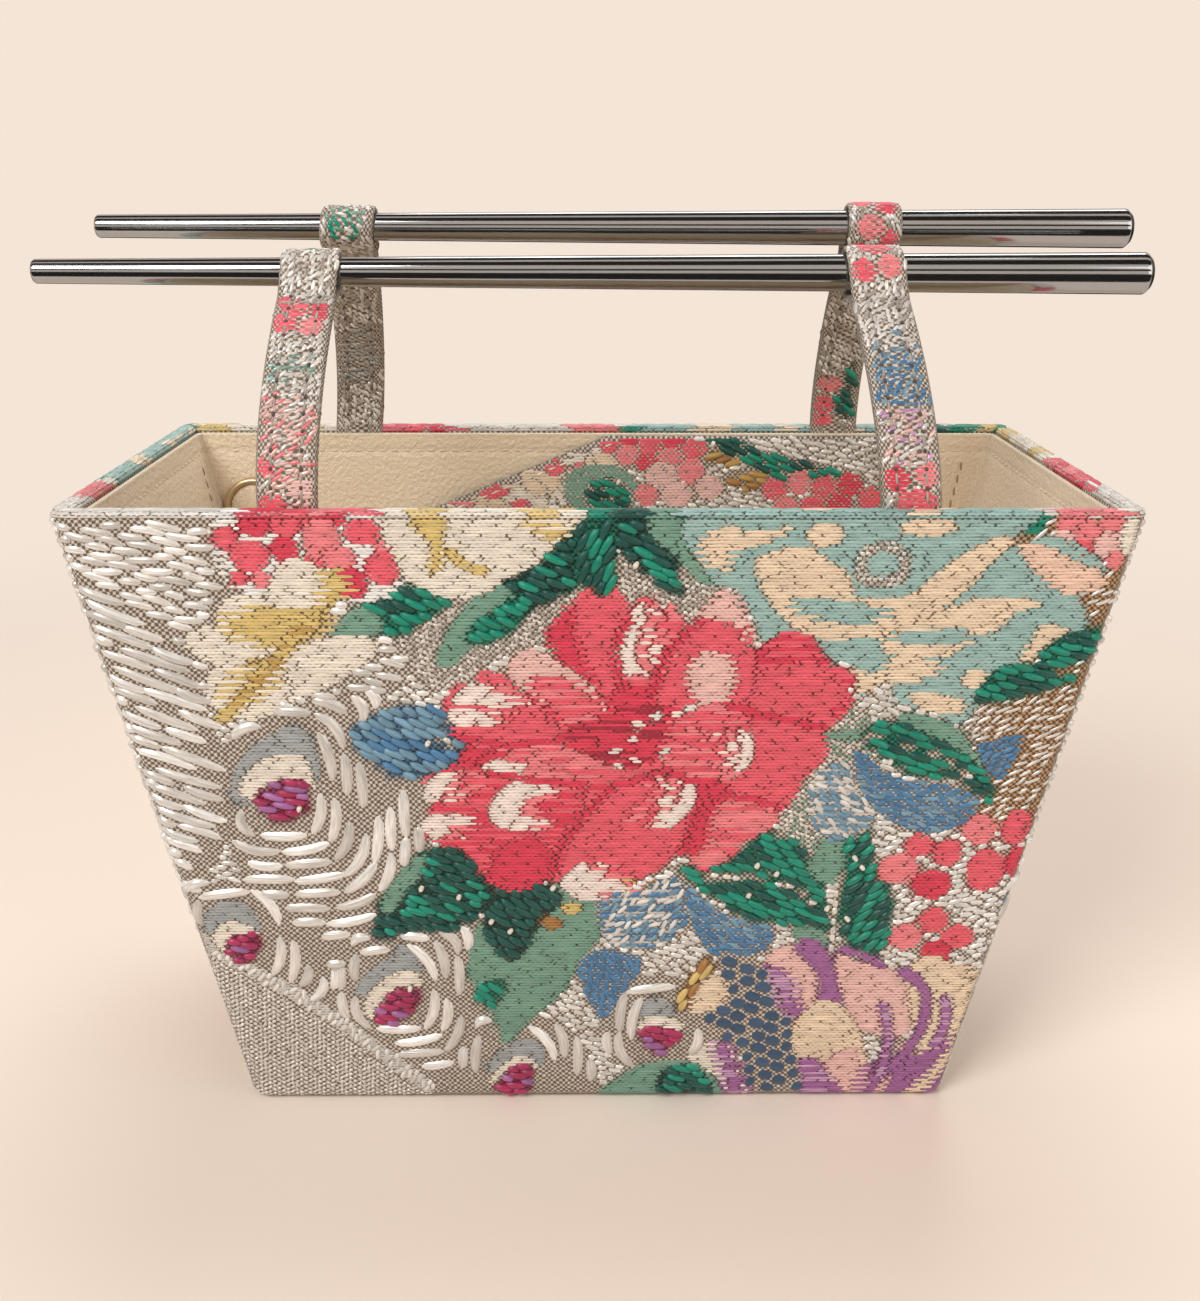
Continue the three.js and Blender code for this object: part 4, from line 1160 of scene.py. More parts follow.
def rim_threads(side):
    """Short floats over the rim, in the colours of the cloth under them."""
    rows = []
    for number, way in enumerate(np.arange(0.1, RIM_WAY[-1] - 0.3, RIM_PITCH)):
        s = -side_reach(side, HEIGHT)
        while s < side_reach(side, HEIGHT) - 1.2:
            span = RIM_LENGTH + RIM_LENGTH_SPREAD * chance(number, round(s * 10), 3)
            rows.append((s + span / 2, way, 0.0, span - RIM_GAP, RIM_WIDTH, RIM_THREAD, 0.0))
            s += span
    threads = np.array(rows)
    at = threads[:, 0] + CLOTH_MIDDLES[side]
    if side != "front":
        at = (at + REPEAT / 2) % REPEAT - REPEAT / 2
    shows = brocade.top(at, np.clip(HEIGHT - 1.0 - threads[:, 1] / 2, 0, HEIGHT))
    names = [brocade.fields[k]["colours"][0] if k >= 0 else "silver" for k in shows]
    tone = RIM_TONE + RIM_TONE_SPREAD * chance(np.arange(len(names)), 4)
    tint = np.array([linear(COLOURS[name]) for name in names]) * tone[:, None]
    return np.column_stack([threads, tint])


dressed(cover(), "bag")
woven = brocade.weave(0.5, HEIGHT - RIM_EDGE, CLOTH_REACH)
for side in SIDES:
    here = {key: placed(threads, side) for key, threads in woven.items()}
    cloth_pieces(side, here, wall_surface(side), "bag")
    rim = thread_piece(f"{side}_rim", rim_threads(side), rim_surface(side), SILK_THREAD, FINE, SILK_TAPER)
    dressed(rim, "bag")


# The lining: a satin bag with soft folds, a rolled top edge and a line of stitches

LINING_RADIUS = 2.0
LINING_SPACING = 3.0
FLOOR_INSET, FLOOR_RISE = 1.6, 1.2
ROLL_BULGE = 0.25
STITCH_DROP = 4.6
STITCH_LENGTH, STITCH_PITCH = 2.4, 3.3
SEAM = (178, 152, 116)
SEAM_SLOPE, SEAM_LENGTH = 0.2, 96
SEAM_IN, SEAM_DROP = 1.2, 4
# Folds: how far they stand in, on the back wall and on the others, and where they fade
BACK_FOLDS, LOOSE_FOLDS = 0.28, 1.3
FOLD_TOP, FOLD_FADE, FOLD_RISE = 1.5, 14, 16
FOLD_WAVES, FOLD_SHARE = 7, 4
FOLD_TURN, FOLD_TURN_SPREAD = 0.15, 0.7
FOLD_PITCH, FOLD_PITCH_SPREAD = 14, 34
GROOVE, GROOVE_WIDTH = 0.3, 0.7


def folds(s, t, key):
    """Soft folds of loose satin, between about -1 and 1."""
    total = 0.0
    for number in range(FOLD_WAVES):
        turn = math.pi * (FOLD_TURN + FOLD_TURN_SPREAD * chance(number, key, 1))
        pitch = FOLD_PITCH + FOLD_PITCH_SPREAD * chance(number, key, 2)
        phase = 2 * math.pi * chance(number, key, 3)
        total = total + np.sin((s * math.cos(turn) + t * math.sin(turn)) * 2 * math.pi / pitch + phase)
    return total / FOLD_SHARE


def lining_surface(side):
    key = SIDES.index(side) + 1
    loose = BACK_FOLDS if side == "back" else LOOSE_FOLDS

    def surface(s, t, h):
        free = np.clip((LINING_TOP - FOLD_TOP - t) / FOLD_FADE, 0, 1) * np.clip(t / FOLD_RISE, 0, 1)
        groove = GROOVE * np.exp(-((t - LINING_TOP + STITCH_DROP) / GROOVE_WIDTH) ** 2)
        inset = LINING_INSIDE + loose * free * (0.5 + 0.5 * folds(s, t, key)) - groove + h
        return on_side(side, s, inset, t, LINING_RADIUS)
    return surface


def lining():
    """The satin lining, closed, with its floor."""
    turn = np.linspace(0, math.pi, 7)[1:-1]
    roll = (LINING_INSIDE - LINING_OUTSIDE) / 2
    bulge = roll + ROLL_BULGE
    heights = np.concatenate([[LINING_FLOOR + FLOOR_RISE], np.linspace(LINING_FLOOR + 5, LINING_TOP - 8,
            44), np.linspace(LINING_TOP - 7, LINING_TOP - roll - 0.4, 10)])
    top = LINING_TOP - roll
    points, maps = [], []
    for side in SIDES:
        share = side_stations(side, LINING_SPACING)
        surface = lining_surface(side)
        floor = [on_side(side, share * side_reach(side, LINING_FLOOR), LINING_INSIDE + FLOOR_INSET,
                         LINING_FLOOR, LINING_RADIUS)]
        wall = [surface(share * side_reach(side, z), z + 0 * share, 0 * share) for z in heights]
        edge = [on_side(side, share * side_reach(side, top), LINING_INSIDE - roll + bulge * math.cos(a),
                        top + roll * math.sin(a), LINING_RADIUS) for a in turn]
        outside = [on_side(side, share * side_reach(side, z), LINING_OUTSIDE, z, LINING_RADIUS)
                   for z in (top, HEIGHT / 2, LINING_FLOOR_UNDER)]
        rows = floor + wall + edge + outside
        points.append(np.stack(rows))
        s = SIDE_MIDDLES[side] + share * side_reach(side, HEIGHT)
        levels = np.concatenate([[LINING_FLOOR - 1], heights, top + np.arange(len(turn)) * 0.4,
                                 top + 4 + np.array([0, 70, 140])])
        maps.append(np.stack(np.meshgrid(s, levels), -1))
    points, maps = np.concatenate(points, 1), np.concatenate(maps, 1)
    rows, columns = points.shape[:2]
    quads = grid_quads(rows, columns, round_columns=True)
    points, maps = points.reshape(-1, 3), maps.reshape(-1, 2)
    for centre, row in (((0, 0, LINING_FLOOR), 0), ((0, 0, LINING_FLOOR_UNDER), rows - 1)):
        middle = len(points)
        points = np.concatenate([points, [centre]])
        maps = np.concatenate([maps, [[0, -60]]])
        quads = np.concatenate([quads, floor_fan(row, columns, middle)])
    piece = mesh_piece("satin_lining", points, quads[:, ::-1], SATIN_CLOTH,
                       {"cloth": maps[quads[:, ::-1].ravel()]})
    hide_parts("lining")
    return piece


def stitches(places, angle, colour, length=STITCH_LENGTH, width=0.55, height=0.4):
    """Sewing stitches at (s, t) places, as threads."""
    places = np.array(places, float)
    rest = [np.full(len(places), value) for value in (math.radians(angle), length, width, height, 0.0)]
    tint = np.tile(linear(colour), (len(places), 1))
    return np.column_stack([places, *rest, tint])


dressed(lining(), "bag")
for side in SIDES:
    level = LINING_TOP - STITCH_DROP
    edge = half_side(side, level) - LINING_INSIDE - LINING_RADIUS
    row = stitches([(s, level) for s in np.arange(-edge, edge, STITCH_PITCH)], 0, SATIN)
    drops = np.arange(0, SEAM_LENGTH, STITCH_PITCH)
    seam = stitches([(SEAM_IN - edge + t * SEAM_SLOPE, level - SEAM_DROP - t) for t in drops], 90, SEAM)
    row = np.concatenate([row, seam])
    under = lining_surface(side)
    dressed(thread_piece(f"lining_stitches_{side}", row, under, SILK_THREAD), "bag")


# The inner pocket of brocade, with a folded slanted mouth

POCKET_SIDE_CLEAR, POCKET_TOP_CLEAR, POCKET_BASE_CLEAR = 0.3, 0.8, 1
POCKET_REACH = 82
MOUTH_HEM = 1.6
# The pocket's cloth thins to a share of its layer over this width at its edges
EDGE_LAYER, EDGE_LAYER_REST, EDGE_WIDTH = 0.45, 0.55, 1.2
pocket_cloth = Pattern()
pocket_cloth.field("stitch", "silver bright silver", [(-80, 66), (-80, 150), (82, 150), (82, 66)], -12)
pocket_cloth.petals("white cream", [
    (-33, 130, 12, 7), (-23, 132.4, 11, 7), (-19, 127, 11, 7), (-30, 125, 13, 6.6), (-41, 126, 11, 6),
    (-14, 138.4, 11, 7), (-4, 140, 11, 6.6), (1, 135.6, 9, 7), (-6, 131, 12, 7), (-14.6, 133, 9, 6.4)], 1.2)
pocket_cloth.petals("coral blush", [(-11, 136, 6, 4), (-4, 135.4, 6, 4), (-27, 130, 9, 3.4),
                                    (-35, 127.4, 7, 2.8), (-20, 126.6, 6, 2.8)])
pocket_cloth.petals("coral deep blush", [
    (4, 142, 6.6, 4.4), (9.6, 143, 6.4, 4), (8.4, 139.2, 6.4, 4.8), (14.4, 141.4, 6.6, 5.4),
    (20.4, 142.2, 6.4, 4.6), (19, 138.2, 6.6, 4.8), (25.6, 140.4, 6.4, 5), (13, 137.4, 5.6, 4.2)], 1.15)
pocket_cloth.silk("sage", [(-8, 134), (0, 137), (9, 134.6), (11, 127), (2, 122), (-7, 126)])
pocket_cloth.leaf("dark emerald", [(-3, 130), (3, 134), (9, 130), (8, 123), (0, 123)])
pocket_cloth.petals("pink blush pink", [(17, 134, 9, 7), (24.6, 135, 8, 6.4), (21, 129, 9, 6.6),
                                        (29.6, 131, 8, 6.6), (13, 129, 7, 6)])
pocket_cloth.leaf("brown old_gold", [(27, 138), (32, 141.4), (39, 139.6), (35, 136.6)], 14)
pocket_cloth.leaf("brown old_gold", [(33, 133), (39, 135.6), (46, 133), (40, 130)], -10)
pocket_cloth.leaf("emerald dark", [(28, 142.6), (36, 143.4), (45, 139.6), (57, 137), (70, 133), (60, 131),
                                   (46, 133.6), (37, 138.6)])
pocket_cloth.petals("coral blush coral deep", [
    (47, 130.4, 7.4, 6.4), (53.4, 132, 7.4, 6.4), (60, 130.6, 7.4, 6.6), (66.6, 131.4, 7.4, 6.4),
    (72, 127.6, 6.4, 6.6), (50, 125.4, 7.4, 6.4), (57, 126, 7.4, 6), (64, 126, 7.4, 6)])
pocket_cloth.petals("white cream", [(-40, 100, 20, 12), (-20, 92, 18, 12), (30, 98, 20, 14)])
pocket_cloth.leaf("emerald sage", [(-60, 92), (-44, 108), (-30, 112), (-36, 96), (-50, 86)])
pocket_cloth.petals("coral deep blush", [(0, 108, 12, 9), (10, 102, 12, 9), (-2, 98, 11, 8),
                                         (6, 92, 10, 8), (48, 108, 9, 8), (56, 102, 9, 8)])
pocket_cloth.leaf("sage dark", [(14, 116), (30, 120), (44, 114), (34, 108), (20, 108)])


def pocket():
    """The pocket's cloth as a thin slab with softened edges."""
    drops = np.concatenate([np.linspace(0, MOUTH_DROP, 20), np.linspace(MOUTH_DROP, POCKET_DEPTH, 20)[1:]])
    across = np.concatenate([[0, 0.006, 0.02], np.linspace(0.05, 0.95, 36), [0.98, 0.994, 1]])
    z = (POCKET_TOP - drops)[:, None] + 0 * across
    left = pocket_left(z)
    x = left + (POCKET_RIGHT - left) * across
    back = pocket_back(x, z)
    thin = np.minimum(np.minimum(x - left, POCKET_RIGHT - x), np.minimum(drops, POCKET_DEPTH - drops)[:,
            None])
    full = POCKET_LAYER * (EDGE_LAYER + EDGE_LAYER_REST * np.clip(thin / EDGE_WIDTH, 0, 1) ** 0.5)
    front = np.stack([x, back - full, z], -1).reshape(-1, 3)
    behind = np.stack([x, back, z], -1).reshape(-1, 3)
    rows, columns = z.shape
    count = rows * columns
    quads = [grid_quads(rows, columns), grid_quads(rows, columns, start=count)[:, ::-1]]
    rim = np.concatenate([np.arange(columns), columns * np.arange(1, rows) + columns - 1,
                          count - 1 - np.arange(1, columns), columns * np.arange(rows - 2, 0, -1)])
    following = np.roll(rim, -1)
    quads.append(np.stack([following, rim, rim + count, following + count], -1))
    quads = np.concatenate(quads)[:, ::-1]
    flat = np.stack([x, z], -1).reshape(-1, 2)
    maps = np.concatenate([flat, flat + [0, 90]])
    tint = np.tile(linear(GROUND_SILVER), (2 * count, 1))
    piece = mesh_piece("pocket_cloth", np.concatenate([front, behind]), quads, NET,
                       {"cloth": maps[quads.ravel()]}, {"ground": tint})
    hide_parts("inner_pocket")
    return piece


def in_pocket(threads):
    """Threads that lie on the pocket, clear of its edges."""
    half = threads[:, 3] / 2 * np.abs(np.cos(threads[:, 2]))
    s, t = threads[:, 0], threads[:, 1]
    across = (s - half > pocket_left(t) + POCKET_SIDE_CLEAR) & (s + half < POCKET_RIGHT - POCKET_SIDE_CLEAR)
    up = (t < POCKET_TOP - POCKET_TOP_CLEAR) & (t > POCKET_TOP - POCKET_DEPTH + POCKET_BASE_CLEAR)
    return threads[across & up]


pocket_piece = dressed(pocket(), "bag")
mouth = np.linspace(0.02, 0.98, 26)
mouth_angle = math.degrees(math.atan2(MOUTH_DROP, MOUTH_START - POCKET_LEFT))
mouth_places = [(MOUTH_START + (POCKET_LEFT - MOUTH_START) * u + MOUTH_HEM,
                 POCKET_TOP - MOUTH_DROP * u - MOUTH_HEM) for u in mouth]
pocket_woven = pocket_cloth.weave(POCKET_TOP - POCKET_DEPTH, POCKET_TOP, POCKET_REACH)
pocket_parts = {key: in_pocket(part) for key, part in pocket_woven.items()}
pocket_parts["silver"] = np.concatenate([pocket_parts["silver"], stitches(mouth_places, mouth_angle,
        COLOURS["white"])])
pocket_threads = cloth_pieces("pocket", pocket_parts, pocket_surface, "bag")


# Straps: one strip each, up from the rim, round the stick and back down, sewn through

# The strip's two layers: how close they are in the wall, how fast they open, and how far
CLOSE, OPENING, APART = 0.45, 0.18, 1.03


def strap_path(strap):
    """The strip's middle line as (y, z) points, their outward directions and their distance from the rim."""
    stick, side = STICKS[strap["stick"]], strap["side"]
    reach = strap["x"] + strap["lean"] + STRAP_WIDTH / 2 - stick["tip"]
    bore = TIP_RADIUS + (BUTT_RADIUS - TIP_RADIUS) * reach / STICK_LENGTH + SLIDE_CLEARANCE
    outside = bore + STRAP_LAYER
    centre = np.array([stick["y"], HEIGHT + stick["rise"]])

    def in_wall(z):
        return np.array([side * (half_depth(z) - (HEM_OUTSIDE + HEM_INSIDE) / 2), z])

    foot, leave = in_wall(HEIGHT - STRAP_TAIL), in_wall(HEIGHT)
    above = leave + (leave - foot) / np.linalg.norm(leave - foot) * STRAP_UPRIGHT
    inward = (centre - above) / np.linalg.norm(centre - above)
    neck = centre - inward * (outside + STRAP_NECK)
    below = neck - inward * STRAP_INWARD
    u = np.linspace(0, 1, 30)[:, None]
    leg = leave * (1 - u) ** 3 + 3 * above * u * (1 - u) ** 2 + 3 * below * u ** 2 * (1 - u) + neck * u ** 3
    line = np.concatenate([[foot], leg])
    way = np.gradient(line, axis=0)
    way /= np.linalg.norm(way, axis=1)[:, None]
    apart = STRAP_LAYER / 2 * np.clip(CLOSE + OPENING * np.arange(len(line)), CLOSE, APART)[:, None]
    left = np.stack([-way[:, 1], way[:, 0]], -1)
    hand = -side
    outer, inner = line + hand * apart * left, line - hand * apart * left
    radius = bore + STRAP_LAYER / 2

    def touch(point, sign):
        out = point - centre
        return math.atan2(out[1], out[0]) + sign * math.acos(min(radius / np.linalg.norm(out), 1.0))

    begin, end = touch(outer[-1], -hand), touch(inner[-1], hand)
    turn = (end - begin) * -hand % (2 * math.pi) * -hand
    angles = begin + turn * np.linspace(0, 1, 34)
    loop = centre + radius * np.stack([np.cos(angles), np.sin(angles)], -1)
    path = np.concatenate([outer, loop, inner[::-1]])
    steps = np.linalg.norm(np.diff(path, axis=0), axis=1)
    way = np.gradient(path, axis=0)
    way /= np.linalg.norm(way, axis=1)[:, None]
    out = hand * np.stack([-way[:, 1], way[:, 0]], -1)
    distance = np.concatenate([[0], np.cumsum(steps)]) - STRAP_TAIL
    return path, out, distance


# Across the strip: place and depth, round its two edges and over its two faces
STRIP_FACE = [(-5.6, 0.5), (-4.6, 0.65), (-3.4, 0.65), (-3.0, 0.5), (-2.6, 0.65), (0, 0.68),
              (2.6, 0.65), (3.0, 0.5), (3.4, 0.65), (4.6, 0.65), (5.6, 0.5)]
STRIP = [(-6, 0), *STRIP_FACE, (6, 0), *[(a, -0.6) for a in (5.6, 3, 0, -3, -5.6)]]


# The height of the strip's face, by distance from its middle
FACE_PLACES, FACE_RISE = [0, 4.6, 5.6, 6], [0.66, 0.65, 0.5, 0.1]


def strap_shift(strap, z):
    return strap["x"] + strap["lean"] * np.maximum(z - HEIGHT, 0) / STICKS[strap["stick"]]["rise"]


def strap_strip(strap):
    path, out, distance = strap_path(strap)
    section = np.array(STRIP)
    depth = section[:, 1] * np.where(distance < 0, 0.6, 1.0)[:, None]
    yz = path[:, None, :] + out[:, None, :] * depth[..., None]
    x = strap_shift(strap, yz[..., 1]) + section[:, 0]
    points = np.concatenate([x[..., None], yz], -1)
    rows, columns = points.shape[:2]
    points = points.reshape(-1, 3)
    quads = grid_quads(rows, columns, round_columns=True)
    half = columns // 2
    for row, flip in ((0, 1), (rows - 1, -1)):
        first = row * columns
        ladder = [(first + i, first + i + 1, first + columns - i - 2, first + columns - i - 1)
                  for i in range(half - 1)]
        quads = np.concatenate([quads, np.array(ladder)[:, ::flip]])
    if strap["side"] < 0:
        quads = quads[:, ::-1]
    maps = np.stack(np.meshgrid(np.arange(columns) * 1.6, distance), -1).reshape(-1, 2)
    tint = np.tile(linear(GROUND_SILVER), (len(points), 1))
    piece = mesh_piece(f"{strap['name']}_strip", points, quads, NET, {"cloth": maps[quads.ravel()]},
                       {"ground": tint})
    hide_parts(strap["name"])
    return piece, path, out, distance


def strap_surface(strap, path, out, distance):
    def surface(s, t, h):
        at = [np.interp(t, distance, column) for column in (*path.T, *out.T)]
        face = np.interp(np.abs(s), FACE_PLACES, FACE_RISE)
        y, z = at[0] + at[2] * (face + h), at[1] + at[3] * (face + h)
        return np.stack([strap_shift(strap, z) + s, y, z], -1)
    return surface


STRAP_SLANT = 28
STRAP_REACH = 5.6
# Sewing on the straps: pitch, place from the middle, and distance from the top of the loop
SEWN_PITCH, SEWN_PLACE, SEWN_CLEAR = 3.6, 3.0, 16


def strap_pattern(kind, end):
    """A narrow cut of the brocade: silver, with blossoms and leaves where the strap shows them."""
    cloth = Pattern()
    cloth.field("mesh", "silver silver bright shade", [(-7, -2), (-7, end / 2), (-7, end + 2),
                                                       (7, end + 2), (7, end / 2), (7, -2)], 62)
    middle = end / 2
    if kind == "front_left":
        cloth.field("mesh", "pink pink silver blush", [(-6, 0), (-6, 20), (0, 23), (6, 19), (6, 0)],
                    STRAP_SLANT)
        cloth.petals("coral pink", [(-3, 1, 7, 4), (3, 4, 6, 4), (-4, 8, 4, 3.4)])
        cloth.field("mesh", "sage teal silver", [(-6, 25), (-5, 30), (0, 32), (5, 33), (5, 28), (0, 26)],
                    STRAP_SLANT)
        cloth.petals("coral blush coral deep", [(-3.4, 40, 6, 5), (2, 39, 6, 5), (-1, 44, 6.4, 5),
                                                (3.8, 43.6, 5, 5), (-4, 45.6, 4, 4)])
        cloth.field("mesh", "sage silver", [(-5, middle - 4), (-4, middle + 4), (2, middle + 5),
                                            (4, middle - 2)], STRAP_SLANT)
    elif kind == "front_right":
        cloth.petals("coral deep blush", [(1, 1.6, 9, 5), (-3, 6, 6, 5), (3.4, 7, 6, 5)])
        cloth.field("mesh", "pink lilac silver", [(-6, 9), (-6, 18), (0, 21), (6, 18), (6, 10)], STRAP_SLANT)
        cloth.field("mesh", "blue steel_blue blue", [(-6, 21), (-6, 30), (0, 34), (6, 31), (6, 21)],
                    STRAP_SLANT)
        cloth.field("mesh", "steel_blue silver", [(-6, 32), (0, 38), (6, 38), (6, 32), (0, 35)], STRAP_SLANT)
        cloth.petals("coral blush coral", [
            (-3, middle - 11, 6, 5), (2.4, middle - 10, 6, 5), (0, middle - 5, 7, 5),
            (-3.6, middle - 1, 5, 5), (3, middle, 6, 5)])
    elif kind == "back_left":
        cloth.field("mesh", "sage silver emerald", [(-4, middle - 1), (-4, middle + 5), (3, middle + 6),
                                                    (4, middle)], STRAP_SLANT)
        cloth.field("mesh", "shade grey", [(-6, end - 26), (-5, end - 12), (5, end - 16), (6, end - 30)],
                    STRAP_SLANT)
    else:
        cloth.petals("coral deep blush", [
            (-3, middle - 3, 6, 5), (2.4, middle - 1, 6, 5), (-1, middle + 4, 7, 5),
            (3.4, middle + 7, 5, 5), (-3, middle + 9, 5, 4)])
        cloth.leaf("emerald dark", [(6, end - 3), (6, end - 18), (1, end - 16), (0, end - 4)], 40)
        cloth.petals("coral blush", [(-3, end - 6, 6, 6), (-2, end - 12, 7, 5), (-3, end - 2, 6, 4)])
    return cloth


def strap_stitches(end):
    """Two rows of sewing up both layers, with dark marks of painted shade at the needle holes, and a seam
    across under the stick.
    """
    ups = [t for t in np.arange(2.5, end - 2, SEWN_PITCH) if abs(t - end / 2) > SEWN_CLEAR]
    rows = [(s, t) for s in (-SEWN_PLACE, SEWN_PLACE) for t in ups]
    seams = [(s, t) for s in (-3.6, 0, 3.6) for t in (end / 2 - 17, end / 2 + 17)]
    sewn = stitches(rows, 90, COLOURS["shade"], 2.2, 0.6, 0.45)
    # Dark marks above each stitch: painted shade in the needle holes
    holes = stitches([(s, t + 1.8) for s, t in rows], 0, COLOURS["hole"], 0.8, 1.1, 0.5)
    across = stitches(seams, 0, COLOURS["shade"], 2.8, 0.6, 0.5)
    return np.concatenate([sewn, holes, across])


def strap_edge_kept(threads, end):
    half = threads[:, 3] / 2 * np.abs(np.cos(threads[:, 2]))
    return threads[(np.abs(threads[:, 0]) + half < STRAP_WIDTH / 2) & (threads[:, 1] > 0)
                   & (threads[:, 1] < end)]


STRAPS = [
    {"name": "strap_front_left", "x": -STRAP_X, "side": -1, "stick": "front", "lean": 1.8},
    {"name": "strap_front_right", "x": STRAP_X, "side": -1, "stick": "front", "lean": -4.3},
    {"name": "strap_back_left", "x": -STRAP_X, "side": 1, "stick": "back", "lean": 5.5},
    {"name": "strap_back_right", "x": STRAP_X, "side": 1, "stick": "back", "lean": 0.2},
]
for strap in STRAPS:
    strip, path, out, distance = strap_strip(strap)
    dressed(strip, "bag")
    end = distance[-1] - STRAP_TAIL
    surface = strap_surface(strap, path, out, distance)
    woven = strap_pattern(strap["name"].removeprefix("strap_"), end).weave(0, end, STRAP_REACH)
    here = {key: strap_edge_kept(threads, end) for key, threads in woven.items()}
    here["grain"] = np.concatenate([here["grain"], strap_stitches(end)])
    cloth_pieces(strap["name"], here, surface, "bag")


# Turned metal: the chopsticks and the snap

def turned(name, profile, made, steps=72):
    """A closed turned shape from (radius, along) points, along +X from the origin."""
    radius, along = np.array(profile, float).T
    angle = np.arange(steps) * 2 * math.pi / steps
    points = np.stack([along[:, None] + 0 * angle, radius[:, None] * np.cos(angle),
                       radius[:, None] * np.sin(angle)], -1)
    rows = len(profile)
    quads = grid_quads(rows, steps, round_columns=True)
    way = np.concatenate([[0], np.cumsum(np.hypot(np.diff(radius), np.diff(along)))])
    maps = np.stack(np.meshgrid(angle * radius.max(), way), -1)[..., ::-1].reshape(-1, 2)
    return mesh_piece(name, points.reshape(-1, 3), quads[:, ::-1], made,
                      {"cloth": maps[quads[:, ::-1].ravel()]})


def chopstick(kind):
    """A tapered steel chopstick: a small rounded tip, and a bevelled, slightly domed thick end."""
    def radius(along):
        return TIP_RADIUS + (BUTT_RADIUS - TIP_RADIUS) * along / STICK_LENGTH

    stick = STICKS[kind]
    tip = [(0.02, 0), (1.2, 0.0), (1.9, 0.05), (2.25, 0.2), (radius(0.6), 0.6), (radius(0.9), 0.9)]
    shaft = [(radius(a), a) for a in np.linspace(2, STICK_LENGTH - 2.4, 24)]
    end = STICK_LENGTH
    butt = [(radius(end - 1.7), end - 1.7), (radius(end) - 0.12, end - 1.4),
            (radius(end) - 1.0, end - 0.5), (radius(end) - 1.2, end - 0.4), (1.6, end - 0.1), (0.02, end)]
    piece = turned(f"steel_chopstick_{kind}", tip + shaft + butt, STEEL_METAL)
    # The tip and the thick end's bevel take the darker steel: a painted dark reflection
    piece.data.materials.append(DARK_REFLECTION_METAL)
    for face in piece.data.polygons:
        along = face.center.x / MM
        face.material_index = 1 if along < 0.3 or end - 1.5 < along < end - 0.3 else 0
    piece.data.transform(Matrix.Translation(Vector((stick["tip"], stick["y"], HEIGHT + stick["rise"])) * MM))
    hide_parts(f"chopstick_{kind}")
    return piece


for kind in STICKS:
    dressed(chopstick(kind), f"{kind}_stick")


def snap_place():
    """The snap's own axis, +X here, turned out of the sloping back wall."""
    slope = math.atan((TOP_DEPTH - BASE_DEPTH) / 2 / HEIGHT)
    x = -(half_width(SNAP_Z) - LINING_INSIDE - SNAP_FROM_CORNER)
    place = Vector((x, half_depth(SNAP_Z) - LINING_INSIDE, SNAP_Z)) * MM
    return Matrix.Translation(place) @ Matrix.Rotation(-slope, 4, "X") @ Matrix.Rotation(-math.pi / 2, 4, "Z")


def snap():
    """A round snap cap: a rolled metal rim round a satin disc."""
    turn = np.linspace(0, math.pi, 9)
    middle, half = SNAP_RADIUS - SNAP_RIM / 2, SNAP_RIM / 2
    roll = [(middle + half * math.cos(a), SNAP_HEIGHT - half + half * math.sin(a)) for a in turn]
    inner = SNAP_RADIUS - SNAP_RIM
    dish = SNAP_HEIGHT - SNAP_DISH
    ring = [(0.02, 0), (SNAP_RADIUS, 0), *roll, (inner, dish), (0.02, dish)]
    disc = [(0.02, dish - 0.1), (inner - 0.15, dish - 0.1), (inner - 0.2, dish + 0.1),
            (inner - 1.2, dish + 0.3), (0.02, dish + 0.45)]
    cap = turned("snap_ring", ring, GILT_METAL, 64)
    face = turned("snap_disc", disc, SATIN_CLOTH, 64)
    for piece in (cap, face):
        piece.data.transform(snap_place())
    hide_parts("snap_cap")
    dressed(cap, "bag")
    dressed(face, "bag")


snap()


# Floor, light and camera

FLOOR_HALF = 6000.0
LAMP_AIM, CARD_AIM = Vector((0, 0, 0.09)), Vector((0, 0, 0.19))
# Dark cards in front and behind, as distance, height and size, in metres
CARD_WIDTH = 3.0
CARDS = {
    "top": (0.28, 0.85, 0.4),
    "high": (0.6, 0.42, 0.12),
    "low": (0.45, 0.1, 0.17),
    "floor": (0.24, 0.06, 0.16),
}


def pale_floor():
    """A pale floor that takes the shadow near the bag and fades into the background further out."""
    made, tree, shader = material("pale_floor", Roughness=0.9)
    shader.inputs["Base Color"].default_value = (*linear(PALE), 1.0)
    place = add(tree, "ShaderNodeNewGeometry").outputs["Position"]
    far = add(tree, "ShaderNodeVectorMath", {0: place}, operation="LENGTH").outputs["Value"]
    fade = add(tree, "ShaderNodeMapRange", {"Value": far, "From Min": 0.22, "From Max": 0.6},
               interpolation_type="SMOOTHSTEP")
    seen = seen_share(tree)
    share = maths(tree, "MULTIPLY", fade.outputs["Result"], seen)
    glow = add(tree, "ShaderNodeEmission", {"Color": (*linear(PALE), 1.0), "Strength": 1.0})
    mix = add(tree, "ShaderNodeMixShader", {0: share, 1: shader.outputs[0], 2: glow.outputs[0]})
    tree.links.new(mix.outputs[0], tree.nodes["Material Output"].inputs["Surface"])
    corners = np.array([(-1, -1, 0), (1, -1, 0), (1, 1, 0), (-1, 1, 0)]) * FLOOR_HALF
    floor = mesh_piece("floor", corners, [(0, 1, 2, 3)], made)


def background(ambient):
    """A pale world to look at, with a lower, plain light from all round."""
    world = bpy.data.worlds.new("studio")
    bpy.context.scene.world = world
    world.use_nodes = True
    tree = world.node_tree
    seen = seen_share(tree)
    strength = add(tree, "ShaderNodeMapRange", {"Value": seen, "To Min": ambient, "To Max": 1.0})
    shade = tree.nodes["Background"]
    shade.inputs["Color"].default_value = (*linear(PALE), 1.0)
    tree.links.new(strength.outputs["Result"], shade.inputs["Strength"])


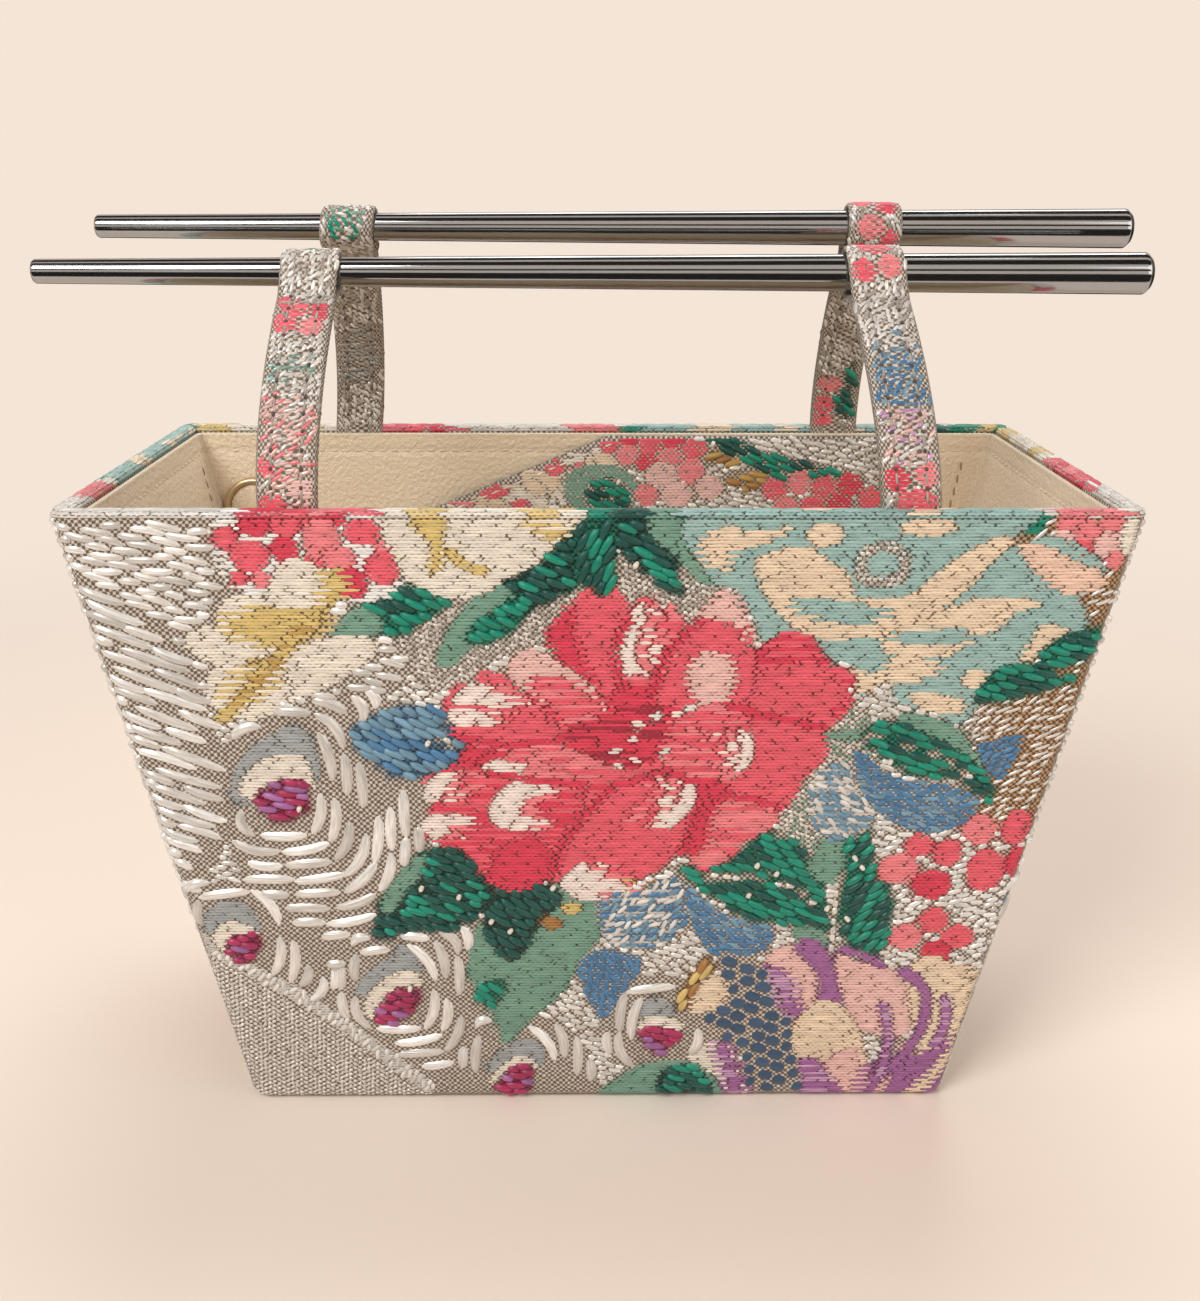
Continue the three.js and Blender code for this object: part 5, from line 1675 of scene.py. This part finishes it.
def soft_lamp(name, place, size, watts):
    """A square soft light that points at the bag."""
    data = bpy.data.lights.new(name, "AREA")
    data.size = size
    data.energy = watts
    lamp = bpy.data.objects.new(name, data)
    lamp.location = place
    aim = LAMP_AIM - Vector(place)
    lamp.rotation_euler = aim.to_track_quat("-Z", "Y").to_euler()
    bpy.context.collection.objects.link(lamp)


def dark_card(name, place, wide, tall):
    """A dark card that only shows in reflections, so that polished metal reads as metal."""
    made, _, shader = material(name, Roughness=1.0)
    shader.inputs["Base Color"].default_value = (0.03, 0.03, 0.03, 1.0)
    half = np.array([(-1, -1), (1, -1), (1, 1), (-1, 1)]) * (wide / 2, tall / 2)
    card = mesh_piece(name, np.column_stack([half, np.zeros(4)]) / MM, [(0, 1, 2, 3)], made)
    aim = CARD_AIM - Vector(place)
    card.matrix_world = Matrix.Translation(place) @ aim.to_track_quat("-Z", "Y").to_matrix().to_4x4()
    card.visible_camera = card.visible_diffuse = card.visible_shadow = card.visible_transmission = False


def photo_camera():
    down, turn, roll = (math.radians(a) for a in (CAMERA_DOWN, CAMERA_TURN, CAMERA_ROLL))
    look = Vector((math.sin(turn) * math.cos(down), math.cos(turn) * math.cos(down), -math.sin(down)))
    right = Vector((math.cos(turn), -math.sin(turn), 0))
    up = right.cross(look)
    right, up = right * math.cos(roll) + up * math.sin(roll), up * math.cos(roll) - right * math.sin(roll)
    data = bpy.data.cameras.new("photo_camera")
    data.sensor_fit = "VERTICAL"
    data.sensor_height = SENSOR
    data.lens = FOCAL_PIXELS / IMAGE_HEIGHT * SENSOR
    data.clip_start = 0.01
    camera = bpy.data.objects.new("photo_camera", data)
    camera.matrix_world = Matrix((right, up, -look)).transposed().to_4x4()
    camera.location = Vector(CAMERA_PLACE) * MM
    bpy.context.collection.objects.link(camera)
    bpy.context.scene.camera = camera


pale_floor()
background(ambient=0.36)
soft_lamp("key", (-0.45, -0.62, 0.78), 0.45, 6.4)
soft_lamp("fill", (0.7, -0.5, 0.4), 0.7, 2.0)
soft_lamp("top", (0.1, 0.4, 0.85), 0.6, 4.2)
for way in (-1, 1):
    for name, (away, height, tall) in CARDS.items():
        dark_card(f"card_{name}_{way}", (0, way * away, height), CARD_WIDTH, tall)
photo_camera()
bpy.context.scene.view_settings.view_transform = "Standard"
